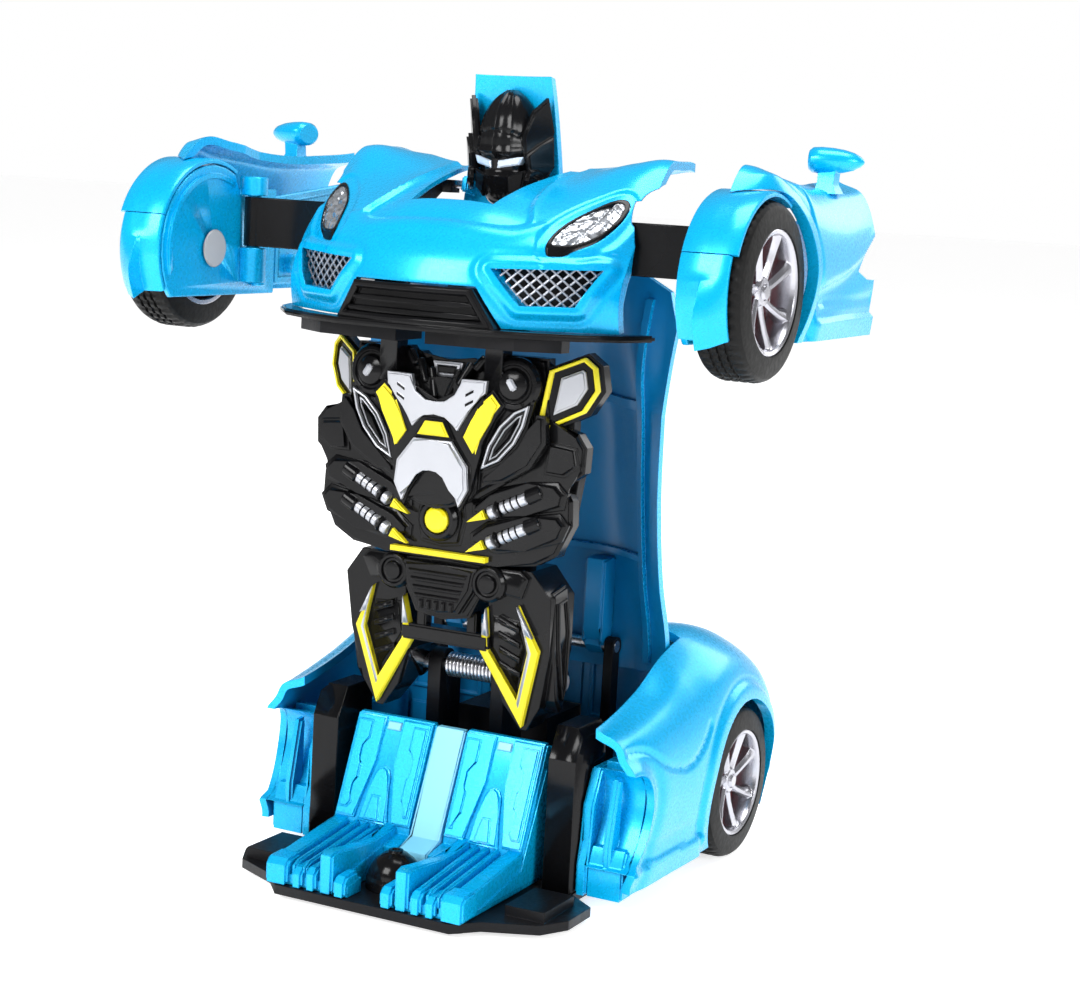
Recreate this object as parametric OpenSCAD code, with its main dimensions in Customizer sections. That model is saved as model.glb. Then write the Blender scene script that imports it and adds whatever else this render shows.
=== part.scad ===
// Toy car that stands up into a robot: blue body shells, black robot frame.
// It is drawn standing. Forward is -Y, the robot's left is +X, up is +Z.
// Body shells are described as they lie on the car and are then moved to the standing pose.

/* [Body] */
// Thickness of the painted body shells
shell_t = 1.6; // [1.2:0.1:2.0]
// Gap left between neighbouring body panels
seam = 0.4; // [0.3:0.1:0.6]

/* [Wheels] */
// Outer radius of the tyres
tyre_r = 15.5; // [15:0.5:16]
// Radius where the tyre meets the rim
rim_r = 10.9; // [10:0.1:11.5]
// Distance from the middle of the car to the outer face of a tyre
track_half = 41.5; // [41:0.5:42]
// Width of a tyre
tyre_w = 9.7; // [9:0.1:9.8]
// Half of the distance between the axles
half_base = 51.4; // [51:0.1:52]
// Number of spokes in a rim
spokes = 7; // [5:1:9]

/* [Mechanism] */
// Height of the pin that the legs turn on
leg_pin_z = 40; // [39.5:0.1:40.5]
// Radius of the leg pin
leg_pin_r = 1.6; // [1.4:0.1:1.8]
// Length of the black arm links between their two pins
link_len = 22; // [21:0.5:22]
// Running clearance of a pin in its hole, on the radius
fit_gap = 0.05; // [0.02:0.01:0.1]

/* [Hidden] */
$fn = 48;

eps = 0.01;
base_front = -26.5;                     // front edge of the base plate
tail_y = 79.5;                          // rearmost point of the body
mid_y = (base_front + tail_y) / 2;      // the origin stands at the middle of the footprint
axle_z = tyre_r;
leg_pin_y = 12;
roof_pin_y = 33.5;
roof_pin_z = 43.5;
roof_pin_r = 1.2;
roof_lug_r = 1.9;
chest_pin = [-73, 23];                  // y and z on the car, where the neck arms meet the chest
chest_pin_r = 1.2;
neck_r = 1.9;                           // round ends of the neck arms and of the ears beside them
flap_pin = [-52.5, 30.2];               // y and z on the car
flap_turn = 100;
link_front = [28, -63];                 // x and y on the car, the link's pin on the chest
link_rear = [28, -63 + link_len];       // x and y on the car, the link's pin on the panel
link_low = 16;
link_high = 25.5;
chest_rise = [0, 68, 102];              // how far the chest is from its place on the car
arm_rise = [link_len, 68 - link_len, 102];
blue = "deepskyblue";
black = [0.08, 0.08, 0.09];
steel = [0.7, 0.7, 0.72];

// ---------------------------------------------------------------- where things stand
module standing() translate([0, -mid_y, 0]) children();
module chest_place() standing() translate(chest_rise) children();
module arm_place(side) standing() mirror([side < 0 ? 1 : 0, 0, 0]) translate(arm_rise) children();
module roof_place() standing() translate([0, roof_pin_y, roof_pin_z]) rotate([-90, 0, 0])
    translate([0, -roof_pin_y, -roof_pin_z]) children();
module flap_place() chest_place() translate([0, flap_pin[0], flap_pin[1]])
    rotate([-flap_turn, 0, 0]) translate([0, -flap_pin[0], -flap_pin[1]]) children();
module both_sides() { children(); mirror([1, 0, 0]) children(); }
// A round bar along X between two places, at a given y and z
module x_bar(x0, x1, y, z, r) translate([x0, y, z]) rotate([0, 90, 0]) cylinder(r = r, h = x1 - x0);
// An outline drawn in y and z, thick along X
module side_plate(x0, x1, outline) translate([x0, 0, 0]) rotate([90, 0, 90])
    linear_extrude(x1 - x0) polygon(outline);
// An outline drawn in x and z, thick along Y
module front_plate(y0, y1, outline) translate([0, y1, 0]) rotate([90, 0, 0])
    linear_extrude(y1 - y0) polygon(outline);
function mirrored(p) = concat(p, [for (i = [len(p) - 1:-1:0]) [-p[i][0], p[i][1]]]);

// ---------------------------------------------------------------- the car's outer surface
// Each station: distance along the car, how far it bows back towards the sides, and then
// x and z of the section from the middle of the top down to the sill.
STATIONS = [
    [-87.0, 19, [[0, 13.5], [8, 13.5], [16, 13.4], [24, 13.2], [31, 12.6], [35.5, 11.5], [36.6, 10], [36.6, 8]]],
    [-85.5, 19, [[0, 18.0], [8, 18.0], [16, 18.2], [24, 18.4], [32, 16.8], [37, 14], [38.3, 10.5], [38.2, 6]]],
    [-82.0, 18, [[0, 22.5], [8, 22.5], [16, 22.2], [24, 22.6], [32, 20.8], [37.5, 17], [39, 11.5], [38.6, 5.5]]],
    [-76.0, 16, [[0, 27.3], [8, 27.2], [16, 26.2], [24, 26.4], [31.5, 26.4], [37.8, 21], [39.8, 13], [39, 5.3]]],
    [-66.0, 11, [[0, 31.3], [8, 31.0], [16, 30.2], [24, 31.0], [31, 31.6], [37.5, 27.5], [41, 17], [39.3, 5.2]]],
    [-54.0, 5, [[0, 34.2], [8, 33.9], [16, 33.4], [25, 35.6], [32, 36.6], [39, 33.5], [42.2, 20], [39.5, 5.2]]],
    [-42.0, 0, [[0, 36.4], [8, 36.1], [16, 35.4], [25, 35.8], [32, 36.0], [39.5, 32.8], [42.3, 20], [39.6, 5.2]]],
    [-34.0, 0, [[0, 39.6], [8, 39.1], [16, 37.3], [25, 34.4], [32, 34.8], [39, 32.3], [42.2, 20], [39.7, 5.2]]],
    [-24.0, 0, [[0, 43.6], [8, 43.1], [15.5, 41], [25.5, 34.2], [32, 34], [38.5, 31.5], [42, 20.5], [39.8, 5.2]]],
    [-12.0, 0, [[0, 47], [8, 46.8], [17, 45.3], [25, 38.0], [32, 34.2], [38, 31.5], [41.6, 21], [39.8, 5.2]]],
    [3.0, 0, [[0, 48.8], [8, 48.6], [17.3, 47], [25.5, 40.5], [32, 35.3], [38, 32], [41, 21], [39.8, 5.2]]],
    [18.0, 0, [[0, 49], [8, 48.8], [17.5, 47.6], [25, 43.8], [31.5, 39], [38.5, 34.5], [41.5, 22], [40, 5.2]]],
    [30.0, 0, [[0, 48.2], [8, 48], [17, 47.6], [24.5, 46.6], [31.5, 44], [39, 37], [42.2, 23], [40.3, 5.2]]],
    [42.0, 0, [[0, 45], [8, 45], [15, 45.4], [23, 47.4], [31, 46.5], [39.5, 39], [42.5, 24], [40.5, 5.5]]],
    [54.0, 0, [[0, 42], [8, 42], [15, 42.6], [23, 45.2], [31, 45], [39.5, 38], [42.5, 24], [40.5, 6]]],
    [66.0, -1, [[0, 38.5], [8, 38.5], [15, 38.8], [23, 40.5], [31, 41], [39, 35], [42, 23], [40, 7]]],
    [74.5, -3, [[0, 35], [8, 35], [15, 35], [23, 36], [31, 36.5], [37.5, 31.5], [40, 22], [38, 9]]],
    [tail_y, -5, [[0, 31], [8, 31], [15, 31], [23, 31.3], [30.5, 31], [35.5, 28], [37.5, 21], [36, 12]]]];
ring_pts = 15;                          // points in half a section
ring_rows = 38;                         // sections along the car

function clamp_i(list, i) = list[max(0, min(len(list) - 1, i))];
function blend4(a, b, c, d, t) = 0.5 * (2 * b + (c - a) * t + (2 * a - 5 * b + 4 * c - d) * t * t
    + (3 * b - a - 3 * c + d) * t * t * t);
function spline(list, u) = let (i = min(floor(u), len(list) - 1), t = u - i)
    blend4(clamp_i(list, i - 1), clamp_i(list, i), clamp_i(list, i + 1), clamp_i(list, i + 2), t);
STATION_Y = [for (s = STATIONS) s[0]];
STATION_BOW = [for (s = STATIONS) s[1]];
// One section: the points of its right half, from the top middle to the sill
function section(s) = let (rails = [for (k = [0:7]) spline([for (st = STATIONS) st[2][k]], s)])
    [for (j = [0:ring_pts - 1]) spline(rails, 7 * j / (ring_pts - 1))];
function unit(v) = v / max(norm(v), 1e-6);
// The section moved inwards by a depth
function inset(p, depth) = [for (j = [0:len(p) - 1])
    let (t = unit(clamp_i(p, j + 1) - clamp_i(p, j - 1)))
    j == 0 ? p[0] - [0, depth] : p[j] + depth * [t[1], -t[0]]];
function row_y(s, x) = spline(STATION_Y, s) + spline(STATION_BOW, s) * pow(x / 40, 2);
function end_shift(y, depth) = depth * (max(0, min(1, (-60 - y) / 20)) - max(0, min(1, (y - 66) / 12)));
// One side of a section, ending at the sill, or below the floor where the body is hollow
function half_ring(s, depth, floor_z) = let (
    half = depth > 0 ? inset(section(s), depth) : section(s),
    right = depth > 0 ? concat(half, [[half[ring_pts - 1][0], floor_z]]) : half,
    shift = end_shift(spline(STATION_Y, s), depth))
    [for (p = right) [p[0], row_y(s, p[0]) + shift, p[1]]];
// The underside has as many points as the top, so that both follow the bow of the nose
function under(half, s) = let (low = half[len(half) - 1], k = len(half) - 1, y0 = low[1] - row_y(s, low[0]))
    [for (j = [0:k]) let (x = low[0] * j / k) [x, row_y(s, x) + y0, low[2]]];
function flip(p) = [-p[0], p[1], p[2]];
function ring(s, depth, floor_z) = let (
    top = half_ring(s, depth, floor_z), low = under(top, s), k = len(top) - 1)
    concat(top, [for (j = [k - 1:-1:0]) low[j]], [for (j = [1:k - 1]) flip(low[j])],
        [for (j = [k:-1:1]) flip(top[j])]);
module body_solid(depth = 0, floor_z = -4) {
    last = len(STATIONS) - 1;
    rows = [for (i = [0:ring_rows - 1]) ring(last * i / (ring_rows - 1), depth, floor_z)];
    n = len(rows[0]);
    k = n / 4;
    far = (ring_rows - 1) * n;
    points = [for (r = rows) each r];
    sides = [for (i = [0:ring_rows - 2], j = [0:n - 1])
        [i * n + j, (i + 1) * n + j, (i + 1) * n + (j + 1) % n, i * n + (j + 1) % n]];
    right = [for (j = [0:k - 1]) j == k - 1 ? [j, k, 2 * k - j] : [j, j + 1, 2 * k - j - 1, 2 * k - j]];
    left = [for (j = [0:k - 1]) let (t = (4 * k - j) % n)
        j == k - 1 ? [4 * k - j - 1, t, 2 * k + j] : [4 * k - j - 1, t, 2 * k + j, 2 * k + j + 1]];
    rear = [for (f = concat(right, left)) [for (i = [len(f) - 1:-1:0]) f[i] + far]];
    polyhedron(points, concat(sides, right, left, rear), convexity = 8);
}
// A piece of the body skin: the children are the block that it is cut from
module skin(outer = 0, thick = shell_t) resize([0, 0, 0]) intersection() {
    difference() {
        body_solid(outer);
        body_solid(outer + thick);
    }
    children();
}
module plan_block(outline, z0 = -1, z1 = 60) translate([0, 0, z0]) linear_extrude(z1 - z0) polygon(outline);
module wheel_arch(y) both_sides() x_bar(31.3, 50, y, axle_z, tyre_r + 1.7);

// Lines where the body panels part, on the right half, in x and y
HOOD_REAR = [[0, -49.2], [9, -48.9], [20, -44.4], [27, -40.4], [32, -38]];
ROOF_FRONT = [[0, -48.7], [9, -48.4], [20, -43.8], [27, -39.8], [31.4, -37.5], [33.6, -31],
    [31.6, -14], [31.3, 4]];
flap_rear_w = 10.5;
flap_front_w = 8;
flap_front_y = -73;
lip_top = 5.9;                          // top of the bumper's lip above the ground, on the car

// ---------------------------------------------------------------- wheels
// The hub's hole is larger on the front stub axles, where the rim turns on the axle
module rim(bore_gap) rotate([90, 0, 90]) {
    x0 = track_half - tyre_w;
    translate([0, 0, x0]) difference() {
        cylinder(r = rim_r, h = tyre_w - 0.3);
        translate([0, 0, -eps]) cylinder(r = rim_r - 1.1, h = tyre_w);
    }
    translate([0, 0, x0 + 0.6]) difference() {
        cylinder(r = 2.7, h = tyre_w - 1.4);
        translate([0, 0, -eps]) cylinder(r = 1.5 + bore_gap, h = tyre_w - 2.4);
    }
    for (i = [0:spokes - 1]) rotate(i * 360 / spokes) translate([2.2, -0.9, track_half - 3.1])
        cube([rim_r - 3, 1.8, 1.6]);
}
module tyre(side) mirror([side < 0 ? 1 : 0, 0, 0]) rotate([90, 0, 90])
    translate([0, 0, track_half - tyre_w]) rotate_extrude($fn = 96)
    polygon([[rim_r, 0], [13.6, 0], [15, 0.9], [tyre_r, 2.2], [tyre_r, 3.1], [tyre_r - 0.5, 3.2],
        [tyre_r - 0.5, 3.7], [tyre_r, 3.8], [tyre_r, 5.9], [tyre_r - 0.5, 6], [tyre_r - 0.5, 6.5],
        [tyre_r, 6.6], [tyre_r, 7.5], [15, 8.8], [13.6, tyre_w], [rim_r, tyre_w]]);
module at_rear_axle() standing() translate([0, half_base, axle_z]) children();
module at_front_wheel(side) standing() translate([side * link_len, -half_base, 0])
    translate([0, arm_rise[1], arm_rise[2] + axle_z]) children();

module rim_rear_left() color("silver") at_rear_axle() rim(0);
module rim_rear_right() color("silver") at_rear_axle() mirror([1, 0, 0]) rim(0);
module tyre_rear_left() color(black) at_rear_axle() tyre(1);
module tyre_rear_right() color(black) at_rear_axle() tyre(-1);
module rim_front_left() color("silver") at_front_wheel(1) rim(fit_gap);
module rim_front_right() color("silver") at_front_wheel(-1) mirror([1, 0, 0]) rim(fit_gap);
module tyre_front_left() color(black) at_front_wheel(1) tyre(1);
module tyre_front_right() color(black) at_front_wheel(-1) tyre(-1);
module rear_axle() color(steel) at_rear_axle() x_bar(-39.3, 39.3, 0, 0, 1.5);

// ---------------------------------------------------------------- friction drive
gear_step = 8.2;                        // distance between the gear shafts
flywheel_r = gear_step - 1.3;           // stays clear of the shaft beside it
module toothed(r, teeth, h, bore) difference() {
    union() {
        cylinder(r = r - 0.7, h = h);
        for (i = [0:teeth - 1]) rotate(i * 360 / teeth) translate([r - 1, -0.35, 0]) cube([1.4, 0.7, h]);
    }
    translate([0, 0, -eps]) cylinder(r = bore, h = h + 2 * eps);
}
module axle_gear() color("ivory") at_rear_axle() rotate([90, 0, 90]) translate([0, 0, 3])
    toothed(6, 24, 3, 1.5);
module idler_gear() color("ivory") standing() translate([0, half_base - gear_step, axle_z])
    rotate([90, 0, 90]) {
        translate([0, 0, 2.8]) rotate(22.5) toothed(2, 8, 3.4, 1 + fit_gap);
        translate([0, 0, -1]) toothed(6, 24, 3.6, 1 + fit_gap);
    }
module flywheel() color("silver") standing() translate([0, half_base - 2 * gear_step, axle_z])
    rotate([90, 0, 90]) {
        translate([0, 0, -1]) rotate(22.5) toothed(2, 8, 3.6, 1 + fit_gap);
        translate([0, 0, -7]) difference() {
            cylinder(r = flywheel_r, h = 5);
            translate([0, 0, -eps]) cylinder(r = 1 + fit_gap, h = 6);
        }
    }
module drive_housing() color(black) standing() {
    y_front = half_base - 3 * gear_step - 1.5;
    y_rear = half_base + 9;
    difference() {
        translate([-10, y_front, 4.2]) cube([20, y_rear - y_front, 24.6]);
        translate([-8.6, y_front + 1.4, 5.6]) cube([17.2, y_rear - y_front - 2.8, 21.8]);
        x_bar(-11, 11, half_base, axle_z, 1.5 + fit_gap);
    }
    for (k = [1:2]) {
        x_bar(-8.7, 8.7, half_base - k * gear_step, axle_z, 1);
    }
}

// ---------------------------------------------------------------- base and feet
module base_plate() color(black) standing() difference() {
    union() {
        plan_block(mirrored([[0, base_front], [18.5, base_front], [22.5, -22], [32, -17.5], [35, -12],
            [35, -3], [29, 1.5], [29, 74], [0, 74]]), 1.2, 3);
        both_sides() for (p = [[16, -20.5], [29.5, -9.5], [25, 70]])
            translate([p[0], p[1], 0.3]) cylinder(r = 3.6, h = 1);
        both_sides() translate([21.5, half_base - 4, 2.9]) cube([4, 8, 17]);
        both_sides() translate([24, -16, 2.9]) cube([8, 12, 2]);
    }
    both_sides() x_bar(20, 27, half_base, axle_z, 1.5 + fit_gap);
    both_sides() for (y = [24, 66]) translate([15, y, 0]) cylinder(r = 1.1, h = 5);
}
module base_screws() color(steel) standing() both_sides() for (y = [24, 66]) translate([15, y, 0])
    difference() {
        union() {
            translate([0, 0, 0.4]) cylinder(r = 2.1, h = 0.8);
            translate([0, 0, 1.1]) cylinder(r = 1.1, h = 6);
        }
        translate([-1.3, -0.25, 0.3]) cube([2.6, 0.5, 0.5]);
        translate([-0.25, -1.3, 0.3]) cube([0.5, 2.6, 0.5]);
    }
boot_top = 27.5;
// Side view of a boot, from the toe up the slanted front to the top
function boot_side(drop, back) = [[base_front + 1.2 + drop, 3.05], [base_front + 1 + drop, 6.2 - drop / 2],
    [-23.4 + drop, 7.6 - drop], [-7.2, 10.8 - drop], [-4.2 + drop, 12.4 - drop], [4.2 + drop, boot_top - drop / 2],
    [back, boot_top - drop / 2], [back, 3.05]];
module boot(side) color(blue) standing() mirror([side < 0 ? 1 : 0, 0, 0]) difference() {
    union() {
        side_plate(3.4, 20.6, boot_side(0.9, 13));
        side_plate(3.4, 8.4, boot_side(0, 13));
        side_plate(15, 20.6, boot_side(0, 13));
    }
    side_plate(5, 19, [[-17, 3], [-17, 6], [-3, 6], [6, 24.5], [14, 24.5], [14, 3]]);
    translate([9.2, -8, 9.2]) rotate([62, 0, 0]) cube([4.6, 12, 3]);
    translate([0, -14.5, 3]) cylinder(r = 5.7, h = 12);
}
module boot_left() boot(1);
module boot_right() boot(-1);
module boot_strip() color([0.6, 0.9, 1]) standing() difference() {
    side_plate(-3.2, 3.2, boot_side(0.6, 12));
    translate([0, -14.5, 3]) cylinder(r = 5.7, h = 12);
    side_plate(-4, 4, [[-30, 3], [-30, 12], [-14.5, 12], [-14.5, 3]]);
}
module foot_dome() color(black) standing() translate([0, -14.5, 3.05]) rotate_extrude()
    polygon([[0, 0], [5.2, 0], [5.2, 2.6], [4.4, 4.6], [2.6, 6.2], [0, 6.9]]);
module pillar(side) color(black) standing() mirror([side < 0 ? 1 : 0, 0, 0]) difference() {
    side_plate(23, 28.7, [[0.4, 3.05], [0.4, 28.4], [3.4, 34.2], [13, 34.2], [13, 3.05]]);
    side_plate(24.4, 27.3, [[3, 2], [3, 26], [12, 26], [12, 2]]);
    translate([31.6, 0, 34]) rotate([0, 45, 0]) translate([-3, -2, -3]) cube([6, 20, 6]);
}
module pillar_left() pillar(1);
module pillar_right() pillar(-1);
// Cheeks that carry the leg pin, and posts that carry the roof pin
module hinge_bracket() color(black) standing() both_sides() difference() {
    union() {
        translate([5.6, 13.3, 3.05]) cube([2.8, 4, leg_pin_z - 3.05]);
        translate([5.6, leg_pin_y - 3, 28]) cube([2.8, 6, 12]);
        x_bar(5.6, 8.4, leg_pin_y, leg_pin_z, 3);
        translate([18.4, roof_pin_y - 1.9, 3.05]) cube([2, 3.1, roof_pin_z - 3.05]);
        x_bar(18.4, 20.4, roof_pin_y, roof_pin_z, roof_lug_r);
        translate([5.6, 17.2, 3.05]) cube([2.8, 7.5, 3]);
    }
    x_bar(5, 9, leg_pin_y, leg_pin_z, leg_pin_r);
    x_bar(18, 21, roof_pin_y, roof_pin_z, roof_pin_r);
}
module leg_pin() color(steel) standing() x_bar(-20, 20, leg_pin_y, leg_pin_z, leg_pin_r);
module roof_pin() color(steel) standing() x_bar(-20.4, 20.4, roof_pin_y, roof_pin_z, roof_pin_r);
spring_wire = 0.35;
module leg_spring() color(steel) standing() translate([0, leg_pin_y, leg_pin_z]) rotate([0, 90, 0])
    for (x = [-4.8:0.8:4.8]) translate([0, 0, x])
        rotate_extrude($fn = 32) translate([2.1, 0]) circle(r = spring_wire, $fn = 16);

// ---------------------------------------------------------------- rear body
ENGINE_BAY = [[0, 41], [8, 41], [12, 44], [14, 52], [11, 62], [6, 66], [0, 66]];
module rear_shell() color(blue) standing() skin() difference() {
    union() {
        plan_block(mirrored([[0, 38.9], [31.4, 38.9], [31.8, 1.5], [50, 1.5], [50, 90], [0, 90]]));
    }
    wheel_arch(half_base);
    plan_block(mirrored(ENGINE_BAY), 20, 60);
    translate([-28, 70, 14]) cube([56, 20, 8]);
}
module engine_cover() color("dimgray") standing() union() {
    skin(0.5) plan_block(mirrored([for (p = ENGINE_BAY) [max(0, p[0] - 0.4), 53.5 + (p[1] - 53.5) * 0.965]]));
}
module tail_panel() color(black) standing() difference() {
    translate([-27.7, 72.5, 14.3]) cube([55.4, 4.2, 7.4]);
    translate([-26, 71, 15.5]) cube([52, 4.2, 5]);
}

// ---------------------------------------------------------------- torso and legs
torso_top = 102.4;
torso_face = -6;
TORSO = [[0, 99], [8.6, 99], [9, torso_top], [24.8, torso_top], [25, 88], [28, 86], [28, 81],
    [25.5, 74], [23.6, 67.5], [19.5, 64.4], [12, 63.4], [0, 63.4]];
module torso_front() color(black) standing() difference() {
    union() {
        front_plate(torso_face + 1.6, 0, mirrored(TORSO));
        // breastplate, button, shoulder discs, side wings and the ribs of the belly
        front_plate(torso_face, torso_face + 1.7, mirrored([[0, 97], [8.4, 98], [10, 95], [7.4, 82], [5.4, 77],
            [3.4, 73.6], [0, 73]]));
        translate([0, torso_face + 1, 70.9]) rotate([90, 0, 0]) cylinder(r = 2.6, h = 2.6);
        both_sides() {
            translate([16.2, torso_face + 1.7, 95.8]) rotate([90, 0, 0]) cylinder(r = 5, h = 2);
            front_plate(torso_face + 0.2, torso_face + 1.7, [[21.6, 101.6], [24.6, 98], [24.6, 89], [20.4, 86]]);
            front_plate(torso_face + 0.2, torso_face + 1.7, [[11, 90], [19, 88], [20.5, 80], [12, 75], [7, 79]]);
            for (z = [68.5, 73]) translate([10, torso_face, z]) rotate([0, -24, 0]) cube([13, 1.8, 2.6]);
        }
    }
    both_sides() translate([9.05, torso_face - 3, 95.9]) cube([3.9, 6.55, 10]);
    both_sides() translate([14, -1.5, 74]) rotate([90, 0, 0]) translate([0, 0, -3]) cylinder(r = 1.1, h = 4);
}
module torso_back() color(black) standing() difference() {
    union() {
        front_plate(0.2, 3, mirrored([[0, 95.6], [24.4, 95.6], [24.4, 88], [26.5, 84], [25, 74], [22.5, 66], [0, 66]]));
        translate([-14, 2.9, 63.5]) cube([28, 6, 14.5]);
    }
    translate([-12.4, 0, 65.1]) cube([24.8, 7.4, 11.3]);
    both_sides() translate([20.5, 0, 80]) rotate([-90, 0, 0]) cylinder(r = 1.1, h = 6);
}
module torso_screws() color(steel) standing() both_sides() translate([20.5, 0, 80]) rotate([-90, 0, 0])
    difference() {
        union() {
            cylinder(r = 1.1, h = 3.1);
            translate([0, 0, 3]) cylinder(r = 1.9, h = 0.8);
        }
        translate([-1.2, -0.22, 3.4]) cube([2.4, 0.44, 0.5]);
        translate([-0.22, -1.2, 3.4]) cube([0.44, 2.4, 0.5]);
    }
module pelvis() color(black) standing() difference() {
    union() {
        front_plate(-4.4, 6, mirrored([[0, 63.2], [11.6, 63.2], [8.6, 58], [6, 52.6], [0, 51.6]]));
        both_sides() translate([10.1, -1.4, 59.9]) rotate([90, 0, 0]) cylinder(r = 3.2, h = 2.6);
    }
    for (z = [55:2.2:60]) translate([-4.5, -5, z]) cube([9, 1.2, 1]);
    both_sides() translate([8.6, -1.2, 52]) cube([6, 8, 11.8]);
}
// Front line of the leg runs down and back from hip to ankle
function leg_face(z) = -1 + 4.6 * (62 - z) / 30;
module leg(side) color(black) standing() mirror([side < 0 ? 1 : 0, 0, 0]) difference() {
    intersection() {
        union() {
            side_plate(8.9, 22, [[leg_face(63), 63], [leg_face(31.8), 31.8], [10, 31.8], [11, 44], [9, 63]]);
            x_bar(8.9, 19, leg_pin_y, leg_pin_z, 3.4);
        }
        front_plate(-8, 18, [[8.9, 63], [18, 63.2], [22, 58], [21.4, 47], [19.2, 36.6], [16.4, 31.8], [15, 31.8],
            [11.4, 36.6], [8.9, 44]]);
    }
    x_bar(8, 22, leg_pin_y, leg_pin_z, leg_pin_r + fit_gap);
    side_plate(12, 18.6, [[leg_face(60) + 2.4, 60], [leg_face(46) + 2.4, 46], [12, 46], [12, 60]]);
}
module leg_left() leg(1);
module leg_right() leg(-1);
neck_y = chest_pin[0] + chest_rise[1];  // standing place of the pin between neck and chest
neck_z = chest_pin[1] + chest_rise[2];
module neck_arms() color(black) standing() both_sides() difference() {
    union() {
        translate([9.2, neck_y - neck_r, 96]) cube([3.6, 2 * neck_r, neck_z - 96]);
        x_bar(9.2, 12.8, neck_y, neck_z, neck_r);
    }
    x_bar(9, 13, neck_y, neck_z, chest_pin_r + fit_gap);
}

// ---------------------------------------------------------------- chest: the car's nose
GRILLE = [[14.6, 16.2], [20, 10.2], [31, 10.4], [34.4, 17.6]];
HEADLIGHT = [[21.4, -79.2], [22, -73.4], [24.4, -67.4], [28.4, -62.4], [30.8, -63.4], [30.4, -70], [27.2, -76.4],
    [23.8, -80]];
grille_rear = -67.5;                    // the intakes end ahead of the front tyres
headlight_low = 17.6;                   // lower edge of the headlights above the ground, on the car
module hood_shell() color(blue) chest_place() difference() {
    skin() difference() {
        plan_block(mirrored(concat(HOOD_REAR, [[34.2, -66], [34.4, -95], [0, -95]])));
        // place of the head flap, headlights, side intakes and bumper
        plan_block(mirrored([[0, -30], [flap_rear_w + seam, -30], [flap_rear_w + seam, -49], [flap_front_w + seam,
            flap_front_y - seam], [0, flap_front_y - seam]]));
        both_sides() plan_block(HEADLIGHT, headlight_low);
        both_sides() front_plate(-100, grille_rear, GRILLE);
        // room for the neck, the arm links and the front tyres
        x_bar(-15.2, 15.2, chest_pin[0], chest_pin[1], neck_r + 0.4);
        both_sides() translate([27, -66.5, 15]) cube([8, 8, 11.2]);
        both_sides() x_bar(31, 50, -half_base, axle_z, tyre_r + 0.7);
        front_plate(-100, -75, mirrored([[0, 13.2], [12.4, 13.2], [17, 7.8], [17, 0], [0, 0]]));
        translate([-50, -100, -2]) cube([100, 60, 8]);
    }
}
module headlight(side) color("lightgray") chest_place() mirror([side < 0 ? 1 : 0, 0, 0])
    skin(0.5, 1.0) plan_block([for (p = HEADLIGHT) [26 + (p[0] - 26) * 0.93, -70.8 + (p[1] + 70.8) * 0.96]],
        headlight_low + 0.4);
module headlight_left() headlight(1);
module headlight_right() headlight(-1);
module grille_insert() color(black) chest_place() {
    both_sides() skin(1.9, 1.0) front_plate(-100, grille_rear,
        [for (p = GRILLE) [25 + (p[0] - 25) * 1.06, 13.4 + (p[1] - 13.4) * 1.12]]);
}
frame_front = -79;
link_boss_r = 1.9;
module chest_frame() color(black) chest_place() {
    both_sides() difference() {
        union() {
            // ears for the neck pins, with an arm up to the pin of the head flap
            x_bar(13.2, 14.7, chest_pin[0], chest_pin[1], neck_r);
            translate([13.2, chest_pin[0] - neck_r, 9]) cube([1.5, 2 * neck_r, chest_pin[1] - 9]);
            side_plate(13.2, 14.7, [[-72, 18], [-72, 23], [-54.1, 31], [-50.9, 31], [-50.9, 28.6], [-54.1, 28.6]]);
            translate([11.2, flap_pin[0] - 1.6, flap_pin[1] - 1.6]) cube([2.2, 3.2, 2.4]);
            // lower arm and boss for the link pin
            translate([13.2, -75, 9]) cube([9.6, 4.6, 3]);
            translate([19, -74.5, 9]) cube([7, 9, 3]);
            translate([22, -68, 9]) cube([6, 6.5, 3]);
            translate([link_front[0], link_front[1], 9]) cylinder(r = link_boss_r, h = link_low - 9.3);
        }
        x_bar(13, 16, chest_pin[0], chest_pin[1], chest_pin_r);
        translate([link_front[0], link_front[1], 8]) cylinder(r = 1.2, h = 10);
        x_bar(11, 13, flap_pin[0], flap_pin[1], 0.8);
    }
    // splitter below the bumper, and what carries it
    difference() {
        plan_block(mirrored([[0, -86.4], [20, -84.4], [27, -80], [27, -76.8], [0, -76.8]]), 2.4, 4.6);
        translate([-3, -90, 2]) cube([6, 20, 4]);
    }
    both_sides() translate([15.4, frame_front, 4.5]) cube([3.6, 2.2, 5]);
    both_sides() translate([15.4, frame_front, 9]) cube([3.6, 5, 3]);
    translate([-15.6, frame_front, 9]) cube([31.2, 2.2, 3]);
}
module chest_pins() color(steel) chest_place() both_sides() {
    x_bar(9.2, 14.7, chest_pin[0], chest_pin[1], chest_pin_r);
    translate([link_front[0], link_front[1], 9]) cylinder(r = 1.2, h = link_high - 9);
    x_bar(7.6, 12.5, flap_pin[0], flap_pin[1], 0.8);
}
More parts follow.
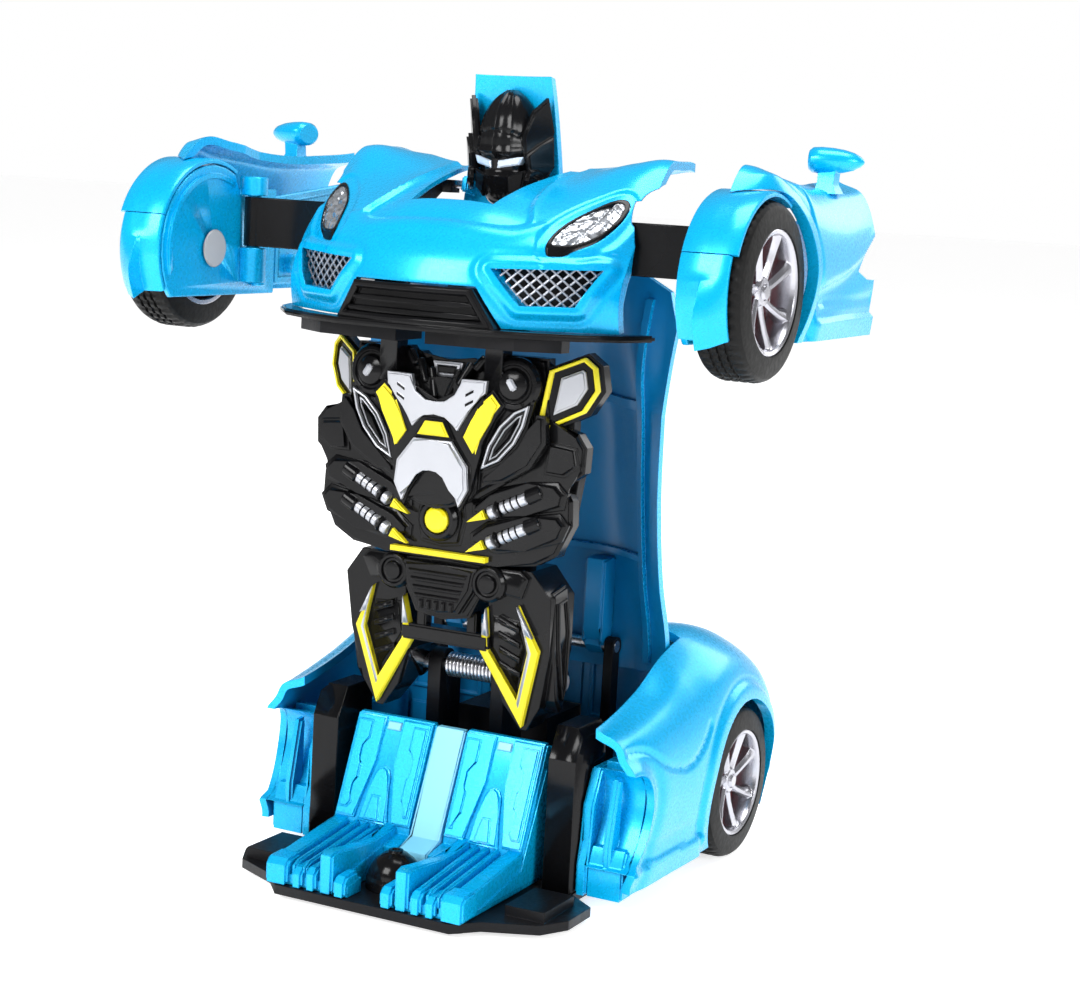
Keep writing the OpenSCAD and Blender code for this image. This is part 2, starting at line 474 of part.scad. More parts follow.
module bumper_lip() color(black) chest_place() {
    plan_block(mirrored([[0, -88.4], [14.5, -88], [22, -85.4], [30.4, -80.4], [36, -73.6], [38.7, -66.6],
        [35.6, -66.6], [33, -72.6], [28.4, -77.6], [20, -82.6], [12, -84.6], [0, -85]]), 4.9, lip_top);
    front_plate(-88.2, -85.4, mirrored([[0, 12.6], [11.8, 12.6], [16, 5.8], [16, 5], [0, 5]]));
    front_plate(-88.9, -87.8, mirrored([[0, 12.6], [11.8, 12.6], [16, 5.8], [14.4, 5.8], [11, 11.4], [0, 11.4]]));
    translate([-2.4, -86, 6.2]) cube([4.8, 15.9, 2]);
}
latch_pin = [-68, 14.2];
module latch_lever() color(steel) chest_place() difference() {
    union() {
        x_bar(-2, 2, latch_pin[0], latch_pin[1], 2);
        side_plate(-2, 2, [[-68.5, 16], [-56.4, 17.8], [-55.4, 19.4], [-54.4, 19.2], [-55, 15.8], [-67.5, 12.4]]);
        side_plate(-2, 2, [[-69.9, 14], [-69.6, 7], [-68, 7], [-66.4, 14]]);
    }
    x_bar(-3, 3, latch_pin[0], latch_pin[1], 0.9);
}

// ---------------------------------------------------------------- head
module head_flap() color(blue) flap_place() {
    skin() plan_block(mirrored([[0, -49.2], [flap_rear_w, -49.2], [flap_front_w, flap_front_y], [0, flap_front_y]]));
    both_sides() difference() {
        translate([7.8, flap_pin[0] - 1.5, flap_pin[1] - 1.5]) cube([1.4, 3, 4]);
        x_bar(7, 10, flap_pin[0], flap_pin[1], 0.8 + fit_gap);
    }
}
head_y = 16.4;                          // standing place of the middle of the helmet
head_back = 15.9;
module head_casting() color(black) standing() difference() {
    union() {
        intersection() {
            translate([0, head_y, 0]) rotate_extrude() polygon([[0, 128.6], [3.6, 129.2], [5, 131.4], [6, 135],
                [6.2, 141], [5.6, 145.4], [4, 148.6], [2, 150.2], [0, 150.6]]);
            translate([-8, 8, 120]) cube([16, head_back - 8, 40]);
        }
        both_sides() side_plate(6, 7.2, [[12.4, 133], [14.8, 131.5], [head_back, 134], [head_back, 149], [14.2, 143],
            [12.6, 140]]);
    }
    // slot for the eyes, and the brow above it
    translate([-4.6, 8, 136]) cube([9.2, 4.2, 2.2]);
}
module face_mask() color("silver") standing() {
    intersection() {
        translate([0, head_y, 0]) cylinder(r = 5.3, h = 300);
        translate([-4.5, 8, 136.1]) cube([9, 4.1, 2]);
    }
}

// ---------------------------------------------------------------- roof, the standing robot's back
WINDSHIELD = [[0, -46.6], [9, -46.2], [19.6, -41.6], [25.4, -33.6], [24.4, -26], [17.4, -12.6], [9, -11.4], [0, -11.2]];
SIDE_WINDOW = [[-19, 36.2], [-8, 42.6], [6, 43.6], [14, 42.4], [19, 40.8], [16, 38.6], [-4, 36.6]];
module roof_shell() color(blue) roof_place() skin() difference() {
    plan_block(mirrored(concat(ROOF_FRONT, [[31, 38], [0, 38]])), 28);
    plan_block(mirrored(WINDSHIELD), 20, 60);
    both_sides() side_plate(18.5, 40, SIDE_WINDOW);
}
module window_insert() color("black") roof_place() {
    skin(1.9, 0.9) union() {
        plan_block(mirrored([for (p = WINDSHIELD) [p[0] * 1.04, -28.9 + (p[1] + 28.9) * 1.04]]), 20, 60);
        both_sides() side_plate(19, 40, [for (p = SIDE_WINDOW) [p[0] * 1.06, 40 + (p[1] - 40) * 1.14]]);
    }
}
module roof_hinge() color(black) roof_place() both_sides() difference() {
    union() {
        x_bar(15, 18, roof_pin_y, roof_pin_z, roof_lug_r);
        translate([15, 22, 42.4]) cube([3, roof_pin_y - 22, 2.4]);
    }
    x_bar(14, 19, roof_pin_y, roof_pin_z, roof_pin_r + fit_gap);
}

// ---------------------------------------------------------------- arms: doors with the front wheels
module link(side) color(black) standing() mirror([side < 0 ? 1 : 0, 0, 0])
    translate([link_front[0], link_front[1] + chest_rise[1], chest_rise[2]]) rotate([0, 0, -90]) {
        z0 = link_low;
        h = link_high - link_low;
        difference() {
            union() {
                translate([0, 0, z0]) cylinder(r = link_boss_r, h = h);
                translate([0, link_len, z0]) cylinder(r = link_boss_r, h = h);
                translate([-1.4, 0, z0]) cube([2.4, link_len, h]);
            }
            translate([0, 0, z0 - 1]) cylinder(r = 1.2 + fit_gap, h = h + 2);
            translate([0, link_len, z0 - 1]) cylinder(r = 1.2 + fit_gap, h = h + 2);
            translate([-3, 4, z0 + 2]) cube([2.4, link_len - 8, h - 4]);
        }
    }
module link_left() link(1);
module link_right() link(-1);
module arm_panel(side) color(blue) arm_place(side) skin() difference() {
    plan_block([[34.9, -95], [34.9, -69.6], [32.6, -38], [34.1, -31], [32.1, -14], [31.8, 0.9], [50, 0.9], [50, -95]],
        lip_top + 0.4);
    wheel_arch(-half_base);
}
module arm_panel_left() arm_panel(1);
module arm_panel_right() arm_panel(-1);
wall_r = tyre_r + 0.3;
WHEEL_WALL = concat([[-64, lip_top + 0.5]],
    [for (a = [208:-12:64]) [-half_base + wall_r * cos(a), axle_z + wall_r * sin(a)]],
    [[-43, 27], [-30, 27], [-30, lip_top + 0.5]]);
module wheel_wall(side) color(blue) arm_place(side) difference() {
    union() {
        side_plate(30.3, 31.4, WHEEL_WALL);
        for (z = [[9, link_low - 0.3], [link_high + 0.3, 29.4]]) {
            translate([link_rear[0], link_rear[1], z[0]]) cylinder(r = 2.5, h = z[1] - z[0]);
            translate([link_rear[0], link_rear[1] - 1.5, z[0]]) cube([2.6, 3, z[1] - z[0]]);
        }
        translate([link_rear[0], link_rear[1], 9]) cylinder(r = 1.2, h = 20);
    }
    x_bar(29, 32, -half_base, axle_z, 1.5);
}
module wheel_wall_left() wheel_wall(1);
module wheel_wall_right() wheel_wall(-1);
// A pod with a round outer end, on a short stalk
module mirror_pod(side) color(blue) arm_place(side) {
    translate([36.4, -14.6, 33.6]) cylinder(r = 1.5, h = 2.4);
    translate([32.6, -15.6, 38.4]) rotate([0, 90, -12]) rotate_extrude()
        polygon([[0, 0], [2.7, 0], [2.9, 1], [2.9, 6.6], [2.5, 8.2], [1.5, 9.4], [0, 9.9]]);
}
module mirror_left() mirror_pod(1);
module mirror_right() mirror_pod(-1);
module axle_front(side) color("gray") arm_place(side) {
    x_bar(29.95, 38.6, -half_base, axle_z, 1.5);
    x_bar(29.4, 29.95, -half_base, axle_z, 3.6);
}
module axle_front_left() axle_front(1);
module axle_front_right() axle_front(-1);

base_plate();
rear_shell();
engine_cover();
tail_panel();
boot_left();
boot_right();
boot_strip();
foot_dome();
pillar_left();
pillar_right();
hinge_bracket();
leg_pin();
leg_spring();
roof_pin();
drive_housing();
base_screws();
rear_axle();
axle_gear();
rim_rear_left();
rim_rear_right();
tyre_rear_left();
tyre_rear_right();
idler_gear();
flywheel();
torso_front();
torso_back();
pelvis();
leg_left();
leg_right();
neck_arms();
torso_screws();
hood_shell();
chest_frame();
headlight_left();
headlight_right();
grille_insert();
chest_pins();
bumper_lip();
latch_lever();
head_flap();
head_casting();
face_mask();
roof_shell();
window_insert();
roof_hinge();
link_left();
link_right();
arm_panel_left();
arm_panel_right();
wheel_wall_left();
wheel_wall_right();
mirror_left();
mirror_right();
axle_front_left();
axle_front_right();
rim_front_left();
rim_front_right();
tyre_front_left();
tyre_front_right();
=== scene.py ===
import math

import bmesh
import bpy
import numpy as np
from mathutils import Matrix, Vector


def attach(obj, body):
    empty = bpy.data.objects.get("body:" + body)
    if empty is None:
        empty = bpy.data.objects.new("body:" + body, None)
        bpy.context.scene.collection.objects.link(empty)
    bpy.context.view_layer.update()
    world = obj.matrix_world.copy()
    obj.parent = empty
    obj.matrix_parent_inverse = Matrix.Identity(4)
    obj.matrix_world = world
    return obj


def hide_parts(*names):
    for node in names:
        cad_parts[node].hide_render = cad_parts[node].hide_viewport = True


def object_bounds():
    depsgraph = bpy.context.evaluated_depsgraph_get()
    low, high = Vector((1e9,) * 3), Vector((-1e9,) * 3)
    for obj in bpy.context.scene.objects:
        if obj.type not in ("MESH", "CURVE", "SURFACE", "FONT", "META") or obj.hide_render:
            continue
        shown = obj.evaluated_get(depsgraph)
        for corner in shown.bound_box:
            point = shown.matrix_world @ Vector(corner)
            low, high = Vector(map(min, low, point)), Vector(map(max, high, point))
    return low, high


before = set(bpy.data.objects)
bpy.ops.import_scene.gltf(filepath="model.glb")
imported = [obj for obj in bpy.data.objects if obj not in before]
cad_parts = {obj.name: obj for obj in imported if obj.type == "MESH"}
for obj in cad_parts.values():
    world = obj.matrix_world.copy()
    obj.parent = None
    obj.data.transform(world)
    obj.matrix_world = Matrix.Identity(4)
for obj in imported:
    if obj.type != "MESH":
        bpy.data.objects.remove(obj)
cad_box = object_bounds()

# ---------------------------------------------------------------- sizes shared with the CAD part
TYRE_R = 15.5
RIM_R = 10.9
TRACK_HALF = 41.5
TYRE_W = 9.7
HALF_BASE = 51.4
SPOKES = 7
SHELL_T = 1.6
MID_Y = 26.5
TAIL_Y = 79.5
LINK_LEN = 22
CHEST_RISE = (0, 68, 102)
ARM_RISE = (LINK_LEN, 68 - LINK_LEN, 102)
ROOF_PIN = (33.5, 43.5)
FLAP_PIN = (-52.5, 30.2)
FLAP_TURN = 100
HEAD_Y = 16.4

# Sections of the car: y, how far it bows back at SECTION_BOW_X, and x and z from the middle down to the sill.
STATIONS = [(-87.0, 19, [(0, 13.5), (8, 13.5), (16, 13.4), (24, 13.2), (31, 12.6), (35.5, 11.5), (36.6, 10),
    (36.6, 8)]), (-85.5, 19, [(0, 18.0), (8, 18.0), (16, 18.2), (24, 18.4), (32, 16.8), (37, 14), (38.3, 10.5),
    (38.2, 6)]), (-82.0, 18, [(0, 22.5), (8, 22.5), (16, 22.2), (24, 22.6), (32, 20.8), (37.5, 17), (39, 11.5),
    (38.6, 5.5)]), (-76.0, 16, [(0, 27.3), (8, 27.2), (16, 26.2), (24, 26.4), (31.5, 26.4), (37.8, 21), (39.8, 13),
    (39, 5.3)]), (-66.0, 11, [(0, 31.3), (8, 31.0), (16, 30.2), (24, 31.0), (31, 31.6), (37.5, 27.5), (41, 17),
    (39.3, 5.2)]), (-54.0, 5, [(0, 34.2), (8, 33.9), (16, 33.4), (25, 35.6), (32, 36.6), (39, 33.5), (42.2, 20),
    (39.5, 5.2)]), (-42.0, 0, [(0, 36.4), (8, 36.1), (16, 35.4), (25, 35.8), (32, 36.0), (39.5, 32.8), (42.3, 20),
    (39.6, 5.2)]), (-34.0, 0, [(0, 39.6), (8, 39.1), (16, 37.3), (25, 34.4), (32, 34.8), (39, 32.3), (42.2, 20),
    (39.7, 5.2)]), (-24.0, 0, [(0, 43.6), (8, 43.1), (15.5, 41), (25.5, 34.2), (32, 34), (38.5, 31.5), (42, 20.5),
    (39.8, 5.2)]), (-12.0, 0, [(0, 47), (8, 46.8), (17, 45.3), (25, 38.0), (32, 34.2), (38, 31.5), (41.6, 21),
    (39.8, 5.2)]), (3.0, 0, [(0, 48.8), (8, 48.6), (17.3, 47), (25.5, 40.5), (32, 35.3), (38, 32), (41, 21),
    (39.8, 5.2)]), (18.0, 0, [(0, 49), (8, 48.8), (17.5, 47.6), (25, 43.8), (31.5, 39), (38.5, 34.5), (41.5, 22),
    (40, 5.2)]), (30.0, 0, [(0, 48.2), (8, 48), (17, 47.6), (24.5, 46.6), (31.5, 44), (39, 37), (42.2, 23),
    (40.3, 5.2)]), (42.0, 0, [(0, 45), (8, 45), (15, 45.4), (23, 47.4), (31, 46.5), (39.5, 39), (42.5, 24),
    (40.5, 5.5)]), (54.0, 0, [(0, 42), (8, 42), (15, 42.6), (23, 45.2), (31, 45), (39.5, 38), (42.5, 24),
    (40.5, 6)]), (66.0, -1, [(0, 38.5), (8, 38.5), (15, 38.8), (23, 40.5), (31, 41), (39, 35), (42, 23), (40, 7)]),
    (74.5, -3, [(0, 35), (8, 35), (15, 35), (23, 36), (31, 36.5), (37.5, 31.5), (40, 22), (38, 9)]),
    (TAIL_Y, -5, [(0, 31), (8, 31), (15, 31), (23, 31.3), (30.5, 31), (35.5, 28), (37.5, 21), (36, 12)]),]
HOOD_REAR = [(0, -49.2), (9, -48.9), (20, -44.4), (27, -40.4), (32, -38)]
ROOF_FRONT = [(0, -48.7), (9, -48.4), (20, -43.8), (27, -39.8), (31.4, -37.5), (33.6, -31), (31.6, -14), (31.3, 4)]
FLAP_REAR_W = 10.5
FLAP_FRONT_W = 8
FLAP_FRONT_Y = -73
LIP_TOP = 5.9
LAMP_LOW = 16
# Openings over the wheels: radius in the body and in the nose, and where they begin beside the middle
ARCH_R, BAND_R = TYRE_R + 1.7, 17.0
ARCH_X, NOSE_ARCH_X = 31.3, 30.1
SECTION_BOW_X = 40      # where a section has bowed back by its whole amount
BESIDE, ABOVE, AHEAD = 50, 60, 100      # clear of the car sideways, upwards and forwards, for tools that cut
VENTS = [(3.6, 45), (8.6, 45), (9.6, 58), (5.2, 62.5), (3.6, 62.5)]
VENT_PITCH = 2.6
MM = 0.001
GRILLE = [(14.2, 16.4), (19.4, 10.2), (28.0, 10.4), (31.4, 17.0)]
GRILLE_REAR = -67.5
ENGINE_BAY = [(0, 41), (8, 41), (12, 44), (14, 52), (11, 62), (6, 66), (0, 66)]
WINDSHIELD = [(0, -46.6), (9, -46.2), (19.6, -41.6), (25.4, -33.6), (24.4, -26), (17.4, -12.6), (9, -11.4),
    (0, -11.2)]
SIDE_WINDOW = [(-19, 36.2), (-8, 42.6), (6, 43.6), (14, 42.4), (19, 40.8), (16, 38.6), (-4, 36.6)]


# ---------------------------------------------------------------- places, as matrices in millimetres
def shift(x, y, z):
    return Matrix.Translation((x, y, z))


def turn_x(degrees, y, z):
    """A turn about a line along X."""
    return shift(0, y, z) @ Matrix.Rotation(math.radians(degrees), 4, "X") @ shift(0, -y, -z)


FLIP = Matrix.Diagonal((-1, 1, 1, 1))
STANDING = shift(0, -MID_Y, 0)
CHEST = STANDING @ shift(*CHEST_RISE)
ROOF = STANDING @ turn_x(-90, *ROOF_PIN)
FLAP = CHEST @ turn_x(-FLAP_TURN, *FLAP_PIN)
# Local axes of a relief: u to the right, v up, and h out of the face
FRONT = Matrix(((1, 0, 0, 0), (0, 0, -1, 0), (0, 1, 0, 0), (0, 0, 0, 1)))
SIDE = Matrix(((0, 0, 1, 0), (1, 0, 0, 0), (0, 1, 0, 0), (0, 0, 0, 1)))
PLAN = Matrix.Identity(4)
SIDES = ((1, "left"), (-1, "right"))


def sided(side):
    """Nothing for the left side, a mirror for the right side."""
    return PLAN if side > 0 else FLIP


def arm_place(side):
    return STANDING @ sided(side) @ shift(*ARM_RISE)


def side_columns(side):
    """The rails of the skin on one side of the nose."""
    return (1.6, 6.6) if side > 0 else (-6.6, -1.6)


# ---------------------------------------------------------------- materials
def shader_node(tree, kind, **values):
    """A new shader node with some of its inputs set."""
    node = tree.nodes.new("ShaderNode" + kind)
    for key, value in values.items():
        node.inputs[key.replace("_", " ")].default_value = value
    return node


def material(name, colour, roughness, metallic=0.0, coat=0.0, grain=0.0, grain_size=0.4, mottle=0.06, worn=0.0,
        gloss=0.5, patches=45.0):
    """Moulded or painted surface: colour that drifts slightly, fine grain in the gloss and relief, softened edges."""
    m = bpy.data.materials.new(name)
    m.use_nodes = True
    tree = m.node_tree
    shader = tree.nodes["Principled BSDF"]
    place = shader_node(tree, "TexCoord")
    drift = shader_node(tree, "TexNoise", Scale=patches, Detail=4.0)
    fine = shader_node(tree, "TexNoise", Scale=500.0 / grain_size, Detail=3.0)
    ramp = shader_node(tree, "ValToRGB")
    dark, light = ramp.color_ramp.elements
    dark.position, light.position = 0.3, 0.7
    dark.color = [c * (1 - mottle) for c in colour] + [1]
    light.color = [min(1, c * (1 + mottle) + 0.15 * mottle * worn) for c in colour] + [1]
    span = shader_node(tree, "MapRange", To_Min=roughness * 0.8, To_Max=min(1.0, roughness * 1.25))
    soft = shader_node(tree, "Bevel", Radius=0.25 * MM)
    soft.samples = 4
    bump = shader_node(tree, "Bump", Strength=grain, Distance=0.5 * grain_size * MM)
    for start, output, end, socket in ((place, "Object", drift, "Vector"), (drift, "Fac", ramp, "Fac"),
            (ramp, "Color", shader, "Base Color"), (place, "Object", fine, "Vector"), (fine, "Fac", span, "Value"),
            (span, "Result", shader, "Roughness"), (fine, "Fac", bump, "Height"), (soft, "Normal", bump, "Normal"),
            (bump, "Normal", shader, "Normal")):
        tree.links.new(start.outputs[output], end.inputs[socket])
    for key, value in (("Metallic", metallic), ("Specular IOR Level", gloss), ("Coat Weight", coat),
            ("Coat Roughness", 0.08)):
        shader.inputs[key].default_value = value
    return m


BLUE = material("blue_paint", (0.0, 0.37, 0.70), 0.27, metallic=0.3, coat=0.15, grain=0.004, gloss=0.3)
# darker copy of the blue paint: painted shade for faces that point into the shell
SHADED_BLUE = material("blue_painted_shade_inside", (0.0, 0.15, 0.36), 0.36, grain=0.06, gloss=0.35)
LIGHT_BLUE = material("light_blue_plastic", (0.20, 0.58, 0.78), 0.32, coat=0.1, grain=0.03, gloss=0.3)
BLACK = material("gloss_black_plastic", (0.002, 0.002, 0.0025), 0.15, grain=0.03, worn=0.4, gloss=0.16)
SATIN = material("satin_black_plastic", (0.004, 0.004, 0.005), 0.38, grain=0.10, worn=0.3, gloss=0.13)
SILVER = material("silver_paint", (0.40, 0.41, 0.44), 0.34, metallic=0.8, grain=0.10, grain_size=0.2)
YELLOW = material("yellow_paint", (0.66, 0.57, 0.01), 0.36, coat=0.1, grain=0.06, gloss=0.3)
CHROME = material("rim_chrome", (0.42, 0.42, 0.46), 0.24, metallic=0.95, grain=0.04)
RED = material("dark_red_plastic", (0.13, 0.003, 0.006), 0.4, grain=0.06, gloss=0.3)
RUBBER = material("tyre_rubber", (0.003, 0.003, 0.003), 0.5, grain=0.35, grain_size=0.5, gloss=0.15)
STEEL = material("pin_steel", (0.55, 0.55, 0.58), 0.28, metallic=1.0, grain=0.15, grain_size=0.2)
GLASS = material("window_black", (0.006, 0.006, 0.008), 0.10, coat=0.4, grain=0.02, gloss=0.4)
LENS = material("headlight_reflector", (0.34, 0.36, 0.39), 0.2, metallic=0.7, coat=0.5, grain=0.5, grain_size=1.2,
    mottle=0.55, patches=900.0)
MESH = material("grille_wire", (0.30, 0.31, 0.34), 0.34, metallic=0.8, grain=0.1)
GEAR = material("gear_white_plastic", (0.78, 0.77, 0.72), 0.4, grain=0.1)
GREY = material("grey_plastic", (0.36, 0.37, 0.39), 0.38, grain=0.1)
ENGINE = material("engine_silver", (0.46, 0.47, 0.50), 0.4, metallic=0.6, grain=0.3, grain_size=0.5)
EYE = material("eye_silver", (0.66, 0.76, 0.88), 0.25, metallic=0.5, coat=0.5, grain=0.05)


# ---------------------------------------------------------------- meshes
def linked(name, data):
    """A new object in the scene."""
    obj = bpy.data.objects.new(name, data)
    bpy.context.scene.collection.objects.link(obj)
    return obj


def plain_object(name, bm, matrix=PLAN):
    """The gathered solids, in millimetres, as an object that may still be cut or used as a tool."""
    bmesh.ops.recalc_face_normals(bm, faces=bm.faces)
    mesh = bpy.data.meshes.new(name)
    bm.to_mesh(mesh)
    bm.free()
    mesh.transform(Matrix.Scale(MM, 4) @ matrix)
    if matrix.determinant() < 0:
        mesh.flip_normals()
    return linked(name, mesh)


def make(name, bm, body, materials, nodes, smooth=35):
    """The gathered solids as one object that rides on a body and stands for CAD nodes."""
    bmesh.ops.remove_doubles(bm, verts=bm.verts, dist=1e-4)
    return finish_piece(plain_object(name, bm), body, materials, nodes, smooth)


def finish_piece(obj, body, materials, nodes, smooth=35):
    for m in materials:
        obj.data.materials.append(m)
    obj.data.shade_smooth()
    obj.data.set_sharp_from_angle(angle=math.radians(smooth))
    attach(obj, body)
    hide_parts(*nodes)
    return obj


def add_solid(bm, verts, faces, mat, matrix):
    corners = [bm.verts.new(matrix @ Vector(v)) for v in verts]
    made = [bm.faces.new([corners[i] for i in f]) for f in faces]
    for f in made:
        f.material_index = mat
    return made


def round_edges(bm, edges, offset, mat=0, segments=2):
    done = bmesh.ops.bevel(bm, geom=list(edges), offset=offset, segments=segments, affect="EDGES",
        clamp_overlap=True)
    for f in done["faces"]:
        f.material_index = mat


def stacked(sections):
    """Corners and faces of a closed solid through sections that have the same number of points."""
    n = len(sections[0])
    last = (len(sections) - 1) * n
    faces = [list(range(n))[::-1], list(range(last, last + n))]
    faces += [[k + i, k + (i + 1) % n, k + n + (i + 1) % n, k + n + i] for k in range(0, last, n) for i in range(n)]
    return [p for s in sections for p in s], faces


def extruded(outline, low, high):
    return stacked([[(u, v, h) for u, v in outline] for h in (low, high)])


def plate(bm, outline, low, high, matrix=FRONT, bevel=0.3, mat=0, segments=2, both=False):
    """An outline in (u, v) made solid from low to high along h, with its outer edge rounded."""
    bottom, top, *_ = add_solid(bm, *extruded(outline, low, high), mat, matrix)
    round_edges(bm, list(top.edges) + (list(bottom.edges) if both else []), bevel, mat, segments)


def plates(bm, matrix, *rows, **same):
    """Plates in one place. Each row has an outline, its low and high faces, and the rest of what plate takes."""
    for outline, low, high, *rest in rows:
        plate(bm, outline, low, high, matrix, *rest, **same)


def grown(outline, by):
    """The outline with each edge moved outwards, or inwards where by is negative."""
    p = np.array(outline, float)
    area = np.sum(p[:, 0] * np.roll(p[:, 1], -1) - np.roll(p[:, 0], -1) * p[:, 1])
    if area < 0:
        by = -by
    a, b = p - np.roll(p, 1, 0), np.roll(p, -1, 0) - p
    a /= np.linalg.norm(a, axis=1)[:, None]
    b /= np.linalg.norm(b, axis=1)[:, None]
    na, nb = np.stack([a[:, 1], -a[:, 0]], 1), np.stack([b[:, 1], -b[:, 0]], 1)
    k = np.maximum(1 + np.sum(na * nb, 1), 0.35)
    return [tuple(q) for q in p + by * (na + nb) / k[:, None]]


def band(bm, outline, width, low, high, matrix=FRONT, mat=0, bevel=0.15):
    """A raised frame that follows an outline, as wide inwards as width."""
    inner = grown(outline, -width)
    rows = [(outline, low), (outline, high - bevel), (grown(outline, -bevel), high), (grown(inner, bevel), high),
        (inner, high - bevel), (inner, low)]
    n = len(outline)
    verts = [(u, v, h) for ring, h in rows for u, v in ring]
    k = len(rows)
    faces = [[r * n + i, r * n + (i + 1) % n, (r + 1) % k * n + (i + 1) % n, (r + 1) % k * n + i] for r in range(k)
        for i in range(n)]
    add_solid(bm, verts, faces, mat, matrix)


def lathe(bm, profile, matrix, mat=0, segments=40, closed=False):
    """A profile of (radius, height) turned about h. A radius of 0 at an end closes the solid."""
    rows = []
    for r, h in profile:
        if r < 1e-6:
            rows.append([bm.verts.new(matrix @ Vector((0, 0, h)))])
        else:
            rows.append([bm.verts.new(matrix @ Vector((r * math.cos(a), r * math.sin(a), h)))
                for a in (2 * math.pi * i / segments for i in range(segments))])
    pairs = list(zip(rows, rows[1:])) + ([(rows[-1], rows[0])] if closed else [])
    for a, b in pairs:
        for i in range(segments):
            j = (i + 1) % segments
            corners = [a[i % len(a)], a[j % len(a)], b[j % len(b)], b[i % len(b)]]
            unique = list(dict.fromkeys(corners))
            if len(unique) > 2:
                bm.faces.new(unique).material_index = mat


def toward(origin, direction):
    """A place whose h axis points along a direction."""
    z = Vector(direction).normalized()
    return shift(*origin) @ z.to_track_quat("Z", "Y").to_matrix().to_4x4()


def rod(bm, a, b, r, matrix=PLAN, mat=0, bevel=0.25, segments=24):
    """A round bar between two points, with rounded ends."""
    d = Vector(b) - Vector(a)
    c = min(bevel, r * 0.8, d.length / 2.2)
    lathe(bm, [(0, 0), (r - c, 0), (r, c), (r, d.length - c), (r - c, d.length), (0, d.length)],
        matrix @ toward(a, d), mat, segments)


def brick(bm, low, high, matrix=PLAN, bevel=0.3, mat=0):
    """A block between two corners with all its edges rounded."""
    verts = [(x, y, z) for z in (low[2], high[2]) for y in (low[1], high[1]) for x in (low[0], high[0])]
    faces = [(0, 2, 3, 1), (4, 5, 7, 6), (0, 1, 5, 4), (2, 6, 7, 3), (0, 4, 6, 2), (1, 3, 7, 5)]
    made = add_solid(bm, verts, faces, mat, matrix)
    round_edges(bm, dict.fromkeys(e for f in made for e in f.edges), bevel, mat)


def loft(bm, sections, matrix, mat=0):
    """A closed solid through sections that have the same number of points."""
    add_solid(bm, *stacked(sections), mat, matrix)


def add_cad(bm, node, width=0.35):
    """A CAD node's own solid with its edges rounded, added in the row frame."""
    part = bmesh.new()
    part.from_mesh(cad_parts[node].data)
    bmesh.ops.scale(part, vec=(1 / MM,) * 3, verts=part.verts)
    bmesh.ops.remove_doubles(part, verts=part.verts, dist=0.003)
    bmesh.ops.dissolve_limit(part, angle_limit=math.radians(1.5), verts=part.verts, edges=part.edges)
    sharp = [e for e in part.edges if len(e.link_faces) == 2 and e.calc_face_angle(0) > math.radians(32)]
    round_edges(part, sharp, width)
    for f in part.faces:
        f.material_index = 0
    mesh = bpy.data.meshes.new("rounded")
    part.to_mesh(mesh)
    part.free()
    bm.from_mesh(mesh)
    bpy.data.meshes.remove(mesh)


def rounded(node, body, look):
    """A CAD node shown with rounded edges."""
    bm = bmesh.new()
    add_cad(bm, node)
    make(node + "_rounded", bm, body, [look], [node])


def mirrored(outline):
    """Closes a half outline with its mirror image about the middle line."""
    return list(outline) + [(-x, y) for x, y in reversed(outline) if x > 1e-6]


# ---------------------------------------------------------------- the car's skin
STATION_Y = np.array([s[0] for s in STATIONS])
STATION_BOW = np.array([s[1] for s in STATIONS], float)
RAILS = np.array([[(-x, z) for x, z in s[2][:0:-1]] + list(s[2]) for s in STATIONS], float)
TOP_RAIL = 7


def spline(knots, u):
    """A Catmull-Rom curve through the knots, at the places u."""
    u = np.asarray(u, float)
    i = np.minimum(np.floor(u).astype(int), len(knots) - 1)
    t = (u - i).reshape(u.shape + (1,) * (knots.ndim - 1))
    a, b, c, d = (knots[np.clip(i + k, 0, len(knots) - 1)] for k in (-1, 0, 1, 2))
    return 0.5 * (2 * b + (c - a) * t + (2 * a - 5 * b + 4 * c - d) * t ** 2 + (3 * b - a - 3 * c + d) * t ** 3)


def loop(outline):
    """A closed smooth curve through the corners of an outline."""
    p = np.array(outline, float)
    knots = np.concatenate([p[-1:], p, p[:2]])
    return [tuple(q) for q in spline(knots, np.linspace(1, len(p) + 1, 6 * len(p), endpoint=False))]


def shrunk(outline, scale):
    """The outline drawn smaller about its middle."""
    p = np.array(outline, float)
    middle = p.mean(0)
    return [tuple(q) for q in middle + (p - middle) * scale]


LAMP = loop([(21.8, -78.2), (22.2, -75.4), (23.8, -70.8), (26.2, -66.6), (28.8, -63.6), (30.8, -63.2),
    (31.0, -66.6), (29.2, -71.2), (26.4, -75.2), (23.6, -77.6)])


def rows_between(y0, y1, step):
    """Places along the stations, about one step apart on the shoulder of the car."""
    dense = np.linspace(0, len(STATIONS) - 1, 3000)
    y = spline(STATION_Y, dense)
    z = spline(RAILS[:, TOP_RAIL + 4, 1], dense)
    length = np.concatenate([[0], np.cumsum(np.hypot(np.diff(y), np.diff(z)))])
    inside = dense[(y >= y0) & (y <= y1)]
    a, b = np.interp([inside[0], inside[-1]], dense, length)
    return np.interp(np.linspace(a, b, max(4, int((b - a) / step))), length, dense)


def end_face(edge, low_z, inwards, count=16):
    """Rows that close the nose or the tail, from its last section down to its lower edge."""
    t = (np.arange(1, count + 1) / count)[:, None]
    face = np.repeat(edge[None], count, 0)
    face[..., 2] = edge[:, 2] + (np.minimum(low_z, edge[:, 2] - 0.4) - edge[:, 2]) * t
    face[..., 1] = edge[:, 1] + inwards * t ** 2
    return face


